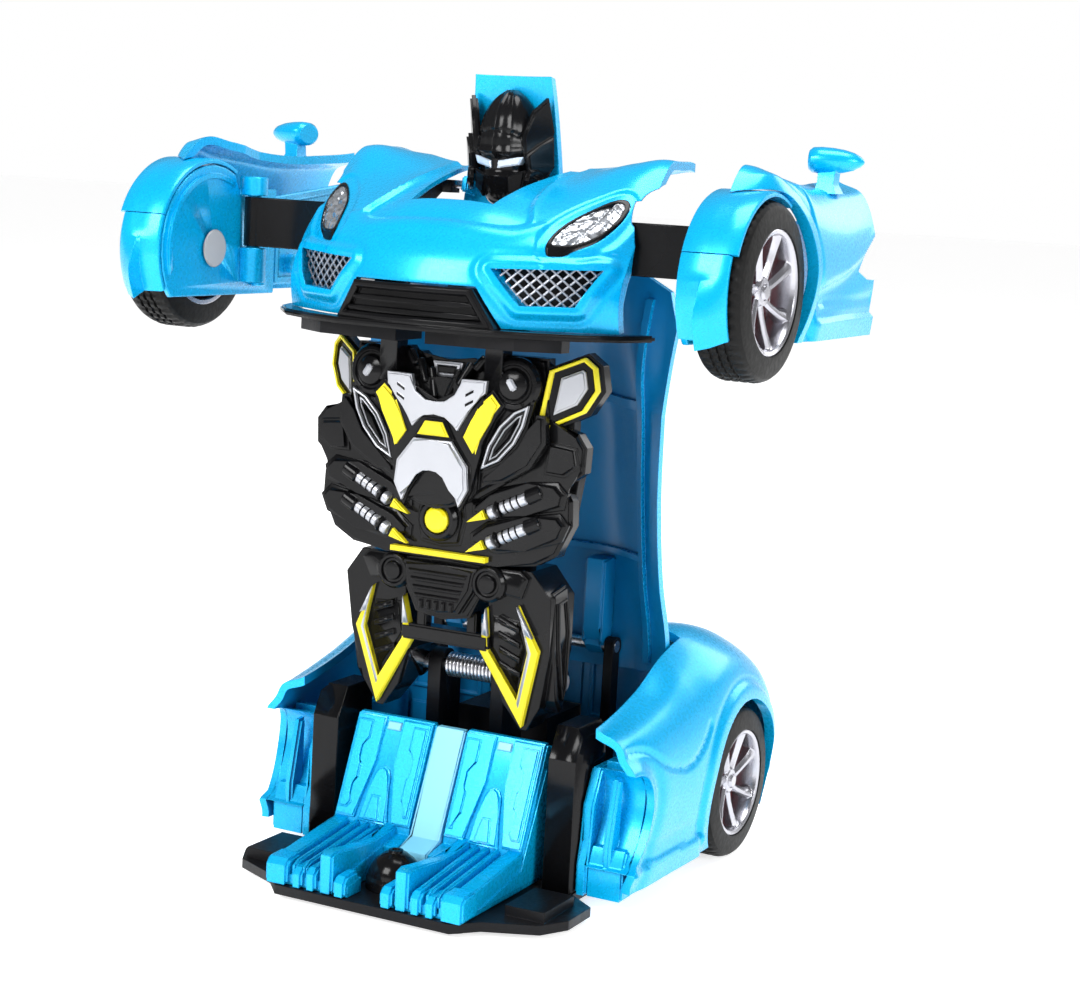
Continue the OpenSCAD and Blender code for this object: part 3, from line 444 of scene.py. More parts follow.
def skin_grid(rows, columns):
    """Points and outward normals of the skin at rows along the stations and columns across the rails."""
    rails = spline(RAILS, rows)
    xz = spline(np.swapaxes(rails, 0, 1), columns + TOP_RAIL)
    x, z = xz[..., 0].T, xz[..., 1].T
    y = spline(STATION_Y, rows)[:, None] + spline(STATION_BOW, rows)[:, None] * (x / SECTION_BOW_X) ** 2
    points = np.stack([x, y, z], -1)
    if rows[0] < 0.01:
        points = np.concatenate([end_face(points[0], LIP_TOP, 0.9)[::-1], points])
    if rows[-1] > len(STATIONS) - 1.01:
        points = np.concatenate([points, end_face(points[-1], 11.6, -1.2)])
    along, across = np.gradient(points, axis=0), np.gradient(points, axis=1)
    normal = np.cross(across, along)
    return points, normal / np.maximum(np.linalg.norm(normal, axis=-1), 1e-9)[..., None]


def slab(points, lower):
    """The closed mesh between two grids: its corners and its faces."""
    rows, cols = points.shape[:2]
    index = np.arange(rows * cols).reshape(rows, cols)
    a, b, c, d = index[:-1, :-1], index[1:, :-1], index[1:, 1:], index[:-1, 1:]
    top = np.stack([a, b, c, d], -1).reshape(-1, 4)
    low = top[:, ::-1] + rows * cols
    rim = np.concatenate([index[0, :], index[1:, -1], index[-1, -2::-1], index[-2:0:-1, 0]])
    nxt = np.roll(rim, -1)
    wall = np.stack([rim, nxt, nxt + rows * cols, rim + rows * cols], -1)
    verts = np.concatenate([points.reshape(-1, 3), lower.reshape(-1, 3)])
    return verts, np.concatenate([top, low, wall])


def gather(bm, obj, mat=0):
    """Adds an object's mesh to the gathered solids, in millimetres, and removes the object."""
    obj.data.transform(Matrix.Scale(1 / MM, 4))
    obj.data.polygons.foreach_set("material_index", [mat] * len(obj.data.polygons))
    bm.from_mesh(obj.data)
    bpy.data.objects.remove(obj)


def mesh_object(name, verts, faces, matrix):
    mesh = bpy.data.meshes.new(name)
    mesh.from_pydata(verts, [], faces)
    mesh.transform(Matrix.Scale(MM, 4) @ matrix)
    if matrix.determinant() < 0:
        mesh.flip_normals()
    bm = bmesh.new()
    bm.from_mesh(mesh)
    bmesh.ops.recalc_face_normals(bm, faces=bm.faces)
    bm.to_mesh(mesh)
    bm.free()
    return linked(name, mesh)


def skin(name, y_range, matrix, outer=0.0, thick=SHELL_T, step=0.6, columns=(-7, 7), form=None, detail=None):
    """A closed piece of the body's skin. Form moves both faces along the normal, detail only the outer one."""
    rows = rows_between(*y_range, step)
    across = np.linspace(columns[0], columns[1], int((columns[1] - columns[0]) * 9 / step) + 1)
    points, normal = skin_grid(rows, across)
    moved = form(points)[..., None] * normal if form else 0
    relief = detail(points)[..., None] * normal if detail else 0
    verts, faces = slab(points + moved + relief - normal * outer, points + moved - normal * (outer + thick))
    return mesh_object(name, verts.tolist(), faces.tolist(), matrix)


def prism(outline, low, high, matrix):
    """A tool that cuts along an outline."""
    return mesh_object("tool", *extruded(outline, low, high), matrix)


def cut(obj, tool, operation="DIFFERENCE"):
    """Cuts a mesh with a tool object, which is used up."""
    step = obj.modifiers.new("cut", "BOOLEAN")
    step.operation, step.solver, step.object = operation, "MANIFOLD", tool
    done = bpy.data.meshes.new_from_object(obj.evaluated_get(bpy.context.evaluated_depsgraph_get()))
    done.materials.clear()
    obj.modifiers.clear()
    old = obj.data
    obj.data = done
    bpy.data.meshes.remove(old)
    bpy.data.objects.remove(tool)
    return obj


def carve(obj, outline, low, high, matrix):
    """Takes away what lies within an outline."""
    return cut(obj, prism(outline, low, high, matrix))


def trim(obj, outline, low, high, matrix):
    """Keeps only what lies within an outline."""
    return cut(obj, prism(outline, low, high, matrix), "INTERSECT")


def distance(u, v, path, closed=False):
    """Distance of points to a path in a plane."""
    p = np.array(list(path) + ([path[0]] if closed else []), float)
    best = np.full(np.shape(u), 1e9)
    for (ax, ay), (bx, by) in zip(p, p[1:]):
        dx, dy = bx - ax, by - ay
        t = np.clip(((u - ax) * dx + (v - ay) * dy) / (dx * dx + dy * dy), 0, 1)
        best = np.minimum(best, np.hypot(u - ax - t * dx, v - ay - t * dy))
    return best


def inside(u, v, outline):
    """Whether points lie inside an outline."""
    p = np.array(outline, float)
    hit = np.zeros(np.shape(u), bool)
    for (ax, ay), (bx, by) in zip(p, np.roll(p, -1, 0)):
        if ay != by:
            hit ^= ((ay > v) != (by > v)) & (u < (bx - ax) * (v - ay) / (by - ay) + ax)
    return hit


def smooth_path(path):
    """The path with seven points more between each two."""
    knots = np.array(path, float)
    return [tuple(q) for q in spline(knots, np.linspace(0, len(path) - 1, 8 * (len(path) - 1) + 1))]


def bell(d, width):
    """A soft step over a distance, 1 in the middle."""
    return np.exp(-(d / width) ** 2)


def line(u, v, path, width, height):
    """A soft ridge along a path, or a groove where the height is negative."""
    return height * bell(distance(u, v, path), width)


def rise(x):
    """Goes smoothly from 0 to 1 as x does."""
    t = np.clip(x, 0, 1)
    return t * t * (3 - 2 * t)


def arch_lip(p, axle_y):
    """A raised lip around a wheel arch."""
    r = np.hypot(p[..., 1] - axle_y, p[..., 2] - TYRE_R)
    side = rise((np.abs(p[..., 0]) - 34) / 4)
    return side * (0.55 * (rise(r - 16) - rise((r - 19.2) / 1.6)) - 0.25 * bell(r - 21.2, 0.5))


def hood_form(p):
    x, y = np.abs(p[..., 0]), p[..., 1]
    return 1.3 * rise((x - 26) / 8) * rise((y + 48) / 9)


def hood_detail(p):
    x, y, z = np.abs(p[..., 0]), p[..., 1], p[..., 2]
    # the middle panel lies a step lower than the nose and the fenders
    middle = smooth_path([(0, -80.6), (8, -80.2), (14.4, -78.4), (17.6, -75.2), (15.4, -70), (13.8, -60),
        (13.6, -44), (0, -44)])
    d = -0.75 * inside(x, y, middle) * rise(distance(x, y, middle) / 1.3)
    d += line(x, y, smooth_path([(0, -81.6), (8, -81.2), (15, -79.4), (19.5, -76.0)]), 1.1, 0.35)
    d += line(x, y, smooth_path([(17.6, -75.2), (15.4, -70), (13.8, -60), (13.6, -46)]), 0.5, 0.25)
    bezel = distance(x, y, LAMP, True) + 50 * (z < LAMP_LOW)
    d -= 0.5 * (1 - rise((bezel - 1.3) / 0.9))
    mouth = distance(x, z, GRILLE, True) + 50 * (y > -60)
    d += 0.4 * bell(mouth - 1.0, 0.7) - 0.3 * bell(mouth - 2.6, 0.6)
    return d


def rear_form(p):
    x, y, z = np.abs(p[..., 0]), p[..., 1], p[..., 2]
    side = rise((x - 33) / 4)
    rim = distance(y, z, smooth_path([(2.6, 9.4), (6.0, 14), (8.0, 20), (7.6, 24.6), (5.0, 27.0), (1, 27.4)]))
    sill = 1.2 * (1 - rise((z - 8.6) / 1.4)) * rise((35 - y) / 3)
    return side * (0.5 * bell(rim, 1.5) - 0.5 * bell(rim - 3.4, 2.0) + sill)


def rear_detail(p):
    x, y, z = np.abs(p[..., 0]), p[..., 1], p[..., 2]
    side = rise((x - 30) / 3)
    d = arch_lip(p, HALF_BASE)
    s_line = smooth_path([(3, 31.5), (9, 30.5), (16, 26.5), (24, 25), (30, 27.5), (34, 31)])
    d += side * line(y, z, s_line, 0.55, -0.5)
    d += side * line(y, z, [(9, 12.5), (32, 12)], 0.5, -0.3)
    deck = smooth_path([(0, 39.9), (10, 39.9), (15.5, 43), (17.6, 52), (14.5, 63.5), (8, 69), (0, 69)])
    d += line(x, y, deck, 0.6, 0.35)
    d += line(x, y, smooth_path([(0, 73.5), (14, 73.3), (27, 71.5), (34, 68)]), 0.5, -0.45)
    return d


CREASE_KNOTS = [(-28, 16.4), (-16, 18.4), (-6, 21.6), (1, 24.8)]
CREASE = smooth_path(CREASE_KNOTS)


def arm_form(p):
    y, z = p[..., 1], p[..., 2]
    crease = distance(y, z, CREASE)
    below = rise((np.interp(y, *zip(*CREASE_KNOTS)) - z + 1) / 2)
    door = rise((y + 33) / 5)
    hollow = -below * bell(crease - 2.0, 3.0) * rise((z - 10.5) / 3)
    return door * (hollow + 1 - rise((z - 9.8) / 0.9))


def arm_detail(p):
    y, z = p[..., 1], p[..., 2]
    d = arch_lip(p, -HALF_BASE)
    d += line(y, z, smooth_path([(-33.6, 33), (-33.4, 24), (-31.5, 16), (-30.8, 7)]), 0.55, -0.6)
    d += line(y, z, CREASE, 0.8, 0.25)
    d += line(y, z, [(-30, 12.6), (0, 13.4)], 0.5, -0.35)
    return d


def roof_detail(p):
    x, y = np.abs(p[..., 0]), p[..., 1]
    d = line(x, y, smooth_path([(16.4, -9), (15.8, 6), (15.8, 22), (16.5, 36)]), 1.0, 0.45)
    d += line(x, y, [(0, 24.5), (13, 24.5)], 0.4, -0.4)
    d += line(x, y, smooth_path([(27.6, -33), (26, -20), (25.2, -6)]), 0.7, 0.35)
    return d


def arch_tube(y, place, x=ARCH_X, r=ARCH_R):
    """A tool that opens the body over a wheel."""
    bm = bmesh.new()
    rod(bm, (x, y, TYRE_R), (BESIDE, y, TYRE_R), r, bevel=0.01, segments=96)
    return plain_object("tube", bm, place)


def both_prisms(outline, low, high, axes, place, obj, operation="DIFFERENCE"):
    for side in (1, -1):
        cut(obj, prism(outline, low, high, place @ sided(side) @ axes), operation)


# ---------------------------------------------------------------- body shells
def rear_body():
    shell = skin("rear_body", (1.4, 81), STANDING, form=rear_form, detail=rear_detail, step=0.42)
    block = mirrored([(0, 38.9), (31.4, 38.9), (31.8, 1.5), (50, 1.5), (50, 60), (43.5, 66), (41, 71.8),
        (38.2, 75.4), (36, 76.4), (30.8, 77.6), (16, 79.6), (0, 80.4)])
    trim(shell, block, -1, ABOVE, STANDING)
    scoop = smooth_path([(-2, 8.2), (2.6, 9.4), (6.0, 14), (8.0, 20), (7.6, 24.6), (5.0, 27.0), (-2, 27.6)])
    for side in (1, -1):
        cut(shell, arch_tube(HALF_BASE, STANDING @ sided(side)))
        carve(shell, scoop, 35.5, 50, STANDING @ sided(side) @ SIDE)
    carve(shell, mirrored(ENGINE_BAY), 20, ABOVE, STANDING)
    carve(shell, [(-28, 70), (28, 70), (28, 90), (-28, 90)], 14, 22, STANDING)
    bm = bmesh.new()
    gather(bm, shell)
    # second material: the darker blue of painted shade inside the bay
    shaded = 1
    for side in (1, -1):
        place = STANDING @ sided(side)
        # inner wall beside the folding bay, with its channel, fins and sill at the front edge
        plates(bm, place @ SIDE,
               ([(1.8, 3.1), (1.8, 9), (3.4, 13), (3.2, 20), (6.4, 26.6), (38.4, 26.6), (38.4, 3.1)], 29.2, 31.4,
                 0.4),
               ([(2.2, 3.1), (2.2, 8.8), (3.6, 12.4), (7, 12.4), (7, 3.1)], 31.2, 38.6, 0.4),
               both=True)
        # blade standing in the scoop, and the scoop's curved back wall
        plate(bm, [(2.0, 9), (2.0, 13), (4.6, 25.4), (6.4, 25.6), (6.4, 9)], 34.2, 35.9, place @ SIDE, 0.5, 0, 3,
            both=True)
        sections = []
        for y, z in scoop[6:-8]:
            sections.append([(31.2, y, z), (39.6, y, z), (39.6, y + 1.2, z), (31.2, y + 1.2, z)])
        loft(bm, sections, place)
        plate(bm, [(8.6, 10), (8.6, 27.6), (10, 27.6), (10, 10)], 31.2, 38.4, place @ SIDE, 0.2)
        # wall behind the folding bay, in the darker blue of painted shade
        plates(bm, place @ FRONT,
               ([(10.4, 3.1), (31.2, 3.1), (31.2, 41.6), (29.4, 43.4), (22, 44.6), (15, 43.2), (10.4, 43.0)], -40.6,
                 -39.2, 0.3, shaded),
               ([(12.4, 8), (28.8, 8), (28.8, 24), (12.4, 24)], -39.4, -38.7, 0.3, shaded))
        band(bm, [(12.4, 27), (28.8, 27), (28.0, 39.6), (12.4, 40.6)], 0.9, -39.4, -38.6, place @ FRONT, shaded, 0.2)
    plate(bm, [(-10.6, 29.2), (10.6, 29.2), (10.6, 43.0), (-10.6, 43.0)], -40.6, -39.2, STANDING @ FRONT, 0.3, shaded)
    piece = make("rear_body", bm, "base", [BLUE, SHADED_BLUE], ["rear_shell"], 40)
    # faces that point towards the middle get the darker blue as painted shade
    for f in piece.data.polygons:
        if f.normal.x * math.copysign(1, f.center.x) < -0.5:
            f.material_index = shaded


def hood():
    shell = skin("hood", (-90, -37), CHEST, form=hood_form, detail=hood_detail, step=0.4)
    block = mirrored(HOOD_REAR + [(34.2, -66), (34.4, -95), (0, -95)])
    trim(shell, block, LIP_TOP + 0.1, ABOVE, CHEST)
    gap = 0.4
    opening = mirrored([(0, -30), (FLAP_REAR_W + gap, -30), (FLAP_REAR_W + gap, -49),
        (FLAP_FRONT_W + gap, FLAP_FRONT_Y - gap), (0, FLAP_FRONT_Y - gap)])
    carve(shell, opening, -1, ABOVE, CHEST)
    both_prisms(LAMP, LAMP_LOW, 60, PLAN, CHEST, shell)
    both_prisms(GRILLE, -GRILLE_REAR, 100, FRONT, CHEST, shell)
    for side in (1, -1):
        cut(shell, arch_tube(-HALF_BASE, CHEST @ sided(side), NOSE_ARCH_X, BAND_R + 0.15))
    mouth = mirrored([(0, 13.1), (12.2, 13.1), (16.7, 5.6), (16.7, 0), (0, 0)])
    carve(shell, mouth, 75, AHEAD, CHEST @ FRONT)
    bm = bmesh.new()
    gather(bm, shell)
    # side walls of the intakes
    for side in (1, -1):
        place = CHEST @ sided(side) @ FRONT
        wall = skin("wall", (-90, -62), CHEST, outer=0.25, thick=3.0, columns=side_columns(side))
        trim(wall, grown(GRILLE, 0.9), -GRILLE_REAR, AHEAD, place)
        carve(wall, GRILLE, -GRILLE_REAR - 5, 105, place)
        gather(bm, wall)
    make("hood", bm, "chest", [BLUE], ["hood_shell"], 40)


def head_plate():
    shell = skin("head_plate", (-76, -47), FLAP)
    outline = mirrored([(0, -49.2), (FLAP_REAR_W, -49.2), (FLAP_FRONT_W, FLAP_FRONT_Y), (0, FLAP_FRONT_Y)])
    trim(shell, outline, -1, ABOVE, FLAP)
    bm = bmesh.new()
    gather(bm, shell)
    for side in (1, -1):
        brick(bm, (7.8 * side, FLAP_PIN[0] - 1.5, FLAP_PIN[1] - 1.5), (9.2 * side, FLAP_PIN[0] + 1.5, 33.4), FLAP)
    make("head_plate", bm, "head", [BLUE], ["head_flap"], 40)


def roof():
    whole = (-50, 39.5)
    shell = skin("roof_panel", whole, ROOF, detail=roof_detail, step=0.5)
    block = mirrored(ROOF_FRONT + [(31, 38), (0, 38)])
    trim(shell, block, 28, ABOVE, ROOF)
    # blind pockets for the panes, and the panes
    glass = bmesh.new()
    for outline, low, high, place in [(WINDSHIELD, 20, 60, ROOF), (SIDE_WINDOW, 18.5, 40, ROOF @ SIDE),
            (SIDE_WINDOW, 18.5, 40, ROOF @ FLIP @ SIDE)]:
        across = outline is WINDSHIELD
        pocket = skin("pocket", whole, ROOF, outer=-1.0, thick=1.8, step=1.0)
        trim(pocket, mirrored(outline) if across else outline, low, high, place)
        cut(shell, pocket)
        pane = skin("pane", whole, ROOF, outer=0.35, thick=0.43, step=0.8)
        edge = grown(outline, -0.12)
        trim(pane, mirrored(edge) if across else edge, low, high, place)
        gather(glass, pane)
    make("window_panes", glass, "back", [GLASS], ["window_insert"], 40)
    bm = bmesh.new()
    gather(bm, shell)
    for side in (1, -1):
        # gutter ridge along the inside of each edge, and the headers across
        for outline, depth in (([(27.2, -36), (28.6, -36), (27.4, -20), (27.0, 36), (25.6, 36), (26.0, -20)], 1.4),
                ([(0, -16.6), (27, -16.6), (27, -14.8), (0, -14.8)], 0.9), ([(0, 14.0), (27, 14.0), (27, 15.2),
                (0, 15.2)], 1.2)):
            rib = skin("rib", (-40, 38), ROOF, outer=SHELL_T - 0.2, thick=depth, step=1.0)
            trim(rib, outline, 20, ABOVE, ROOF @ sided(side))
            gather(bm, rib)
    piece = make("roof_panel", bm, "back", [BLUE, SHADED_BLUE], ["roof_shell"], 40)
    # faces that point forwards, the inside of the panel, get the darker blue as painted shade
    for f in piece.data.polygons:
        if f.normal.y < -0.2:
            f.material_index = 1
    bm = bmesh.new()
    for side in (1, -1):
        plate(bm, [(16, 44.2), (16, 40.6), (30, 40.6), (32.4, 41.8), (33.5, 41.6), (35.3, 43.4), (34.2, 45.3),
            (30, 46.2), (16, 46.2)], 13.6, 18.0, ROOF @ sided(side) @ SIDE, 0.5, both=True)
    # hinge blocks in the same darker blue as the painted shade inside the roof
    make("roof_hinge_blocks", bm, "back", [SHADED_BLUE], ["roof_hinge"])


def arms():
    outline = [(34.9, -95), (34.9, -69.6), (32.6, -38), (34.1, -31), (32.1, -14), (31.8, 0.9), (50, 0.9), (50, -95)]
    for side, name in SIDES:
        place = arm_place(side)
        shell = skin("arm_panel", (-90, 2), place, columns=(2, 7), form=arm_form, detail=arm_detail, step=0.4)
        trim(shell, outline, LIP_TOP + 0.4, ABOVE, place)
        cut(shell, arch_tube(-HALF_BASE, place))
        notch = [(6, 24.6), (0.3, 24.6), (-6.8, 18.4), (-2.8, 16.8), (6, 16.6)]
        carve(shell, notch, 30, ABOVE, place @ SIDE)
        carve(shell, [(-95, 0), (-64, 0), (-64.6, 10), (-66.6, 15), (-66.6, 21.9), (-95, 21.9)], 30, ABOVE,
            place @ SIDE)
        bm = bmesh.new()
        gather(bm, shell)
        # band that wraps the front of the wheel, with a step across it; low down it swells out to the nose
        for low, high, x1 in ((-28, 22, 39.4), (22.6, 118, 40.4)):
            sections = []
            for a in np.radians(np.linspace(180 - low, 180 - high, 28)):
                c, d = math.cos(a), math.sin(a)
                swell = 1 - rise((d + 0.27) / 0.5)
                sections.append([(x, -HALF_BASE + r * c, TYRE_R + r * d) for x, r in ((30.4, 16.1), (30.4, 16.7),
                    (30.8, BAND_R), (34.5, BAND_R + 0.2 * swell), (34.9, BAND_R + 3.3 * swell),
                    (37, BAND_R + 2.0 * swell), (x1 - 0.5, BAND_R), (x1, 16.6), (x1, 16.1))])
            loft(bm, sections, place)
        make("arm_door_" + name, bm, "arm_" + name, [BLUE], ["arm_panel_" + name], 40)


def headlights():
    """Etched reflector behind an almond-shaped black rim."""
    strokes = [smooth_path(s) for s in ([(23.8, -75.4), (26.0, -73.0), (28.4, -72.6)],
        [(24.4, -71.8), (27.0, -69.4), (30.2, -69.2)], [(26.2, -67.4), (28.0, -65.6), (30.4, -65.8)],
        [(25.6, -75.6), (27.4, -70), (28.2, -65)])]

    def etched(p):
        x, y = np.abs(p[..., 0]), p[..., 1]
        return sum(line(x, y, s, 0.3, -0.35) for s in strokes) + 0.10 * np.sin(3.1 * x + 1.3 * y) * np.sin(2.3 * y
            - 1.7 * x)

    for side, name in SIDES:
        place = CHEST @ sided(side)
        columns = side_columns(side)
        bm = bmesh.new()
        lens = skin("lens", (-90, -58), CHEST, outer=0.5, thick=1.0, step=0.3, columns=columns, detail=etched)
        trim(lens, shrunk(LAMP, 0.87), LAMP_LOW - 2, ABOVE, place)
        gather(bm, lens)
        ring = skin("ring", (-90, -58), CHEST, outer=0.25, thick=1.2, step=0.5, columns=columns)
        trim(ring, shrunk(LAMP, 0.98), LAMP_LOW - 2, ABOVE, place)
        carve(ring, shrunk(LAMP, 0.86), LAMP_LOW - 4, 65, place)
        cut(ring, arch_tube(-HALF_BASE, place, NOSE_ARCH_X, BAND_R + 0.15))
        gather(bm, ring, 1)
        make("headlight_lamp_" + name, bm, "chest", [LENS, BLACK], ["headlight_" + name], 40)


def grilles():
    """Diamond wire mesh over black in the two nose intakes."""
    pitch, wire, depth = 2.0, 0.22, 2.5
    opening = grown(GRILLE, 0.2)
    nose_y, _, _ = STATIONS[0]
    heights = np.linspace(min(z for _, z in opening), max(z for _, z in opening), 200)
    bm = bmesh.new()
    for side in (1, -1):
        place = CHEST @ sided(side)
        back = skin("back", (-90, -60), CHEST, outer=3.0, thick=0.8, columns=side_columns(side))
        trim(back, opening, -GRILLE_REAR, AHEAD, place @ FRONT)
        gather(bm, back)
        for lean in (1, -1):
            for c in np.arange(-8, 64, pitch):
                x = c - lean * heights
                within = np.flatnonzero(inside(x, heights, opening))
                if len(within) < 12:
                    continue
                ends = [(x[k], nose_y + STATION_BOW[0] * (x[k] / SECTION_BOW_X) ** 2 + depth, heights[k])
                    for k in within[[0, -1]]]
                rod(bm, *ends, wire, place, 1, 0.05, 8)
    make("nose_grilles", bm, "chest", [SATIN, MESH], ["grille_insert"], 40)


def engine():
    """Ribbed cover between the humps, with black vents."""
    def relief(p):
        x, y = np.abs(p[..., 0]), p[..., 1]
        vents = inside(x, y, VENTS)
        slats = 0.5 * (np.mod(y, VENT_PITCH) < VENT_PITCH / 2)
        return np.where(vents, -0.5 + slats, 0.25 * np.cos(x * 5.5) * np.cos(y * 5.5)) + line(x, y,
            [(0, 42), (0, 66)], 0.8, 0.4)

    bay = [(max(0, x - 0.4), 53.5 + (y - 53.5) * 0.965) for x, y in ENGINE_BAY]
    piece = skin("engine_deck", (39, 68), STANDING, outer=0.7, thick=1.2, step=0.35, columns=(-3, 3), detail=relief)
    trim(piece, mirrored(bay), 20, ABOVE, STANDING)
    c = np.array([f.center for f in piece.data.polygons]) / MM - STANDING.translation
    vent = inside(np.abs(c[:, 0]), c[:, 1], VENTS) & (np.mod(c[:, 1], VENT_PITCH) > VENT_PITCH / 2)
    for f, v in zip(piece.data.polygons, vent):
        f.material_index = int(v)
    finish_piece(piece, "base", [ENGINE, BLACK], ["engine_cover"], 30)


# ---------------------------------------------------------------- wheels
def wheel(name, body, place, nodes):
    """A rim with twisted tapering spokes over a dark red disc, and its tyre."""
    axle = place @ Matrix.Rotation(math.radians(90), 4, "Y")
    x0 = TRACK_HALF - TYRE_W
    face = TRACK_HALF - 0.3
    rim = bmesh.new()
    barrel = [(RIM_R, x0), (RIM_R, face), (RIM_R - 0.35, face + 0.15), (RIM_R - 0.9, face - 0.1),
        (RIM_R - 1.3, face - 1.0), (RIM_R - 1.1, x0 + 0.4), (RIM_R - 0.8, x0)]
    lathe(rim, barrel, axle, 0, 72, closed=True)
    lathe(rim, [(0, x0 + 4.1), (RIM_R - 1.2, x0 + 4.1), (RIM_R - 1.2, x0 + 4.9), (6.2, x0 + 5.1), (3.4, x0 + 5.9),
        (0, x0 + 5.9)], axle, 1, 48)
    lathe(rim, [(0, x0 + 5), (2.7, x0 + 5), (2.7, face - 2.4), (2.3, face - 1.8), (1.5, face - 1.7),
        (1.2, face - 1.2), (0, face - 1.1)], axle, 0, 32)
    twist = math.radians(13)
    for i in range(SPOKES):
        sections = []
        for k, (r, half, front, back) in enumerate([(1.9, 1.05, 2.0, 4.6), (4.2, 0.8, 1.7, 3.9),
                (7.0, 0.85, 1.2, 3.2), (9.0, 1.15, 0.7, 2.9), (10.2, 1.7, 0.45, 2.9)]):
            a = 2 * math.pi * i / SPOKES + twist * (r / 10) ** 1.4
            tx, ty = -math.sin(a), math.cos(a)
            cx, cy = r * math.cos(a), r * math.sin(a)
            ring = [(-half, back), (-half, front + 0.5), (-half * 0.55, front), (half * 0.25, front + 0.05),
                (half, front + 0.7), (half, back)]
            sections.append([(cx + t * tx, cy + t * ty, face - d) for t, d in ring])
        loft(rim, sections, axle)
    make("wheel_rim_" + name, rim, body, [CHROME, RED], [nodes[0]], 32)

    tyre = bmesh.new()
    groove_r, tread_r = TYRE_R - 0.55, 15.2
    profile = [(RIM_R, 0), (11.6, 0), (12.2, 0.15), (13.6, 0.2), (14.6, 0.5), (15.1, 1.1), (15.4, 1.9),
        (TYRE_R, 2.3)]
    for h in (2.95, 4.5, 6.05):
        profile += [(TYRE_R, h), (groove_r, h + 0.1), (groove_r, h + 0.6), (TYRE_R, h + 0.7)]
    profile += [(TYRE_R, 7.4), (15.4, 7.8), (15.1, 8.6), (14.6, 9.2), (13.6, 9.5), (12.2, 9.55), (11.6, TYRE_W),
        (RIM_R, TYRE_W)]
    around, treads = 240, 48
    rings = []
    for i in range(around):
        a = 2 * math.pi * i / around
        bar = (i * treads * 2 // around) % 2      # 1 in the grooves across the tread
        ring = []
        for r, h in profile:
            r -= 0.3 * bar if r > tread_r else 0
            ring.append(tyre.verts.new(axle @ Vector((r * math.cos(a), r * math.sin(a), x0 + h))))
        rings.append(ring)
    n = len(profile)
    for i in range(around):
        a, b = rings[i], rings[(i + 1) % around]
        for k in range(n):
            tyre.faces.new([a[k], a[(k + 1) % n], b[(k + 1) % n], b[k]])
    make("wheel_tyre_" + name, tyre, body, [RUBBER], [nodes[1]], 28)


def wheels():
    for side, name in SIDES:
        wheel("rear_" + name, "rear_wheels", STANDING @ sided(side) @ shift(0, HALF_BASE, TYRE_R),
            ("rim_rear_" + name, "tyre_rear_" + name))
        wheel("front_" + name, "front_wheel_" + name, arm_place(side) @ shift(0, -HALF_BASE, TYRE_R),
            ("rim_front_" + name, "tyre_front_" + name))


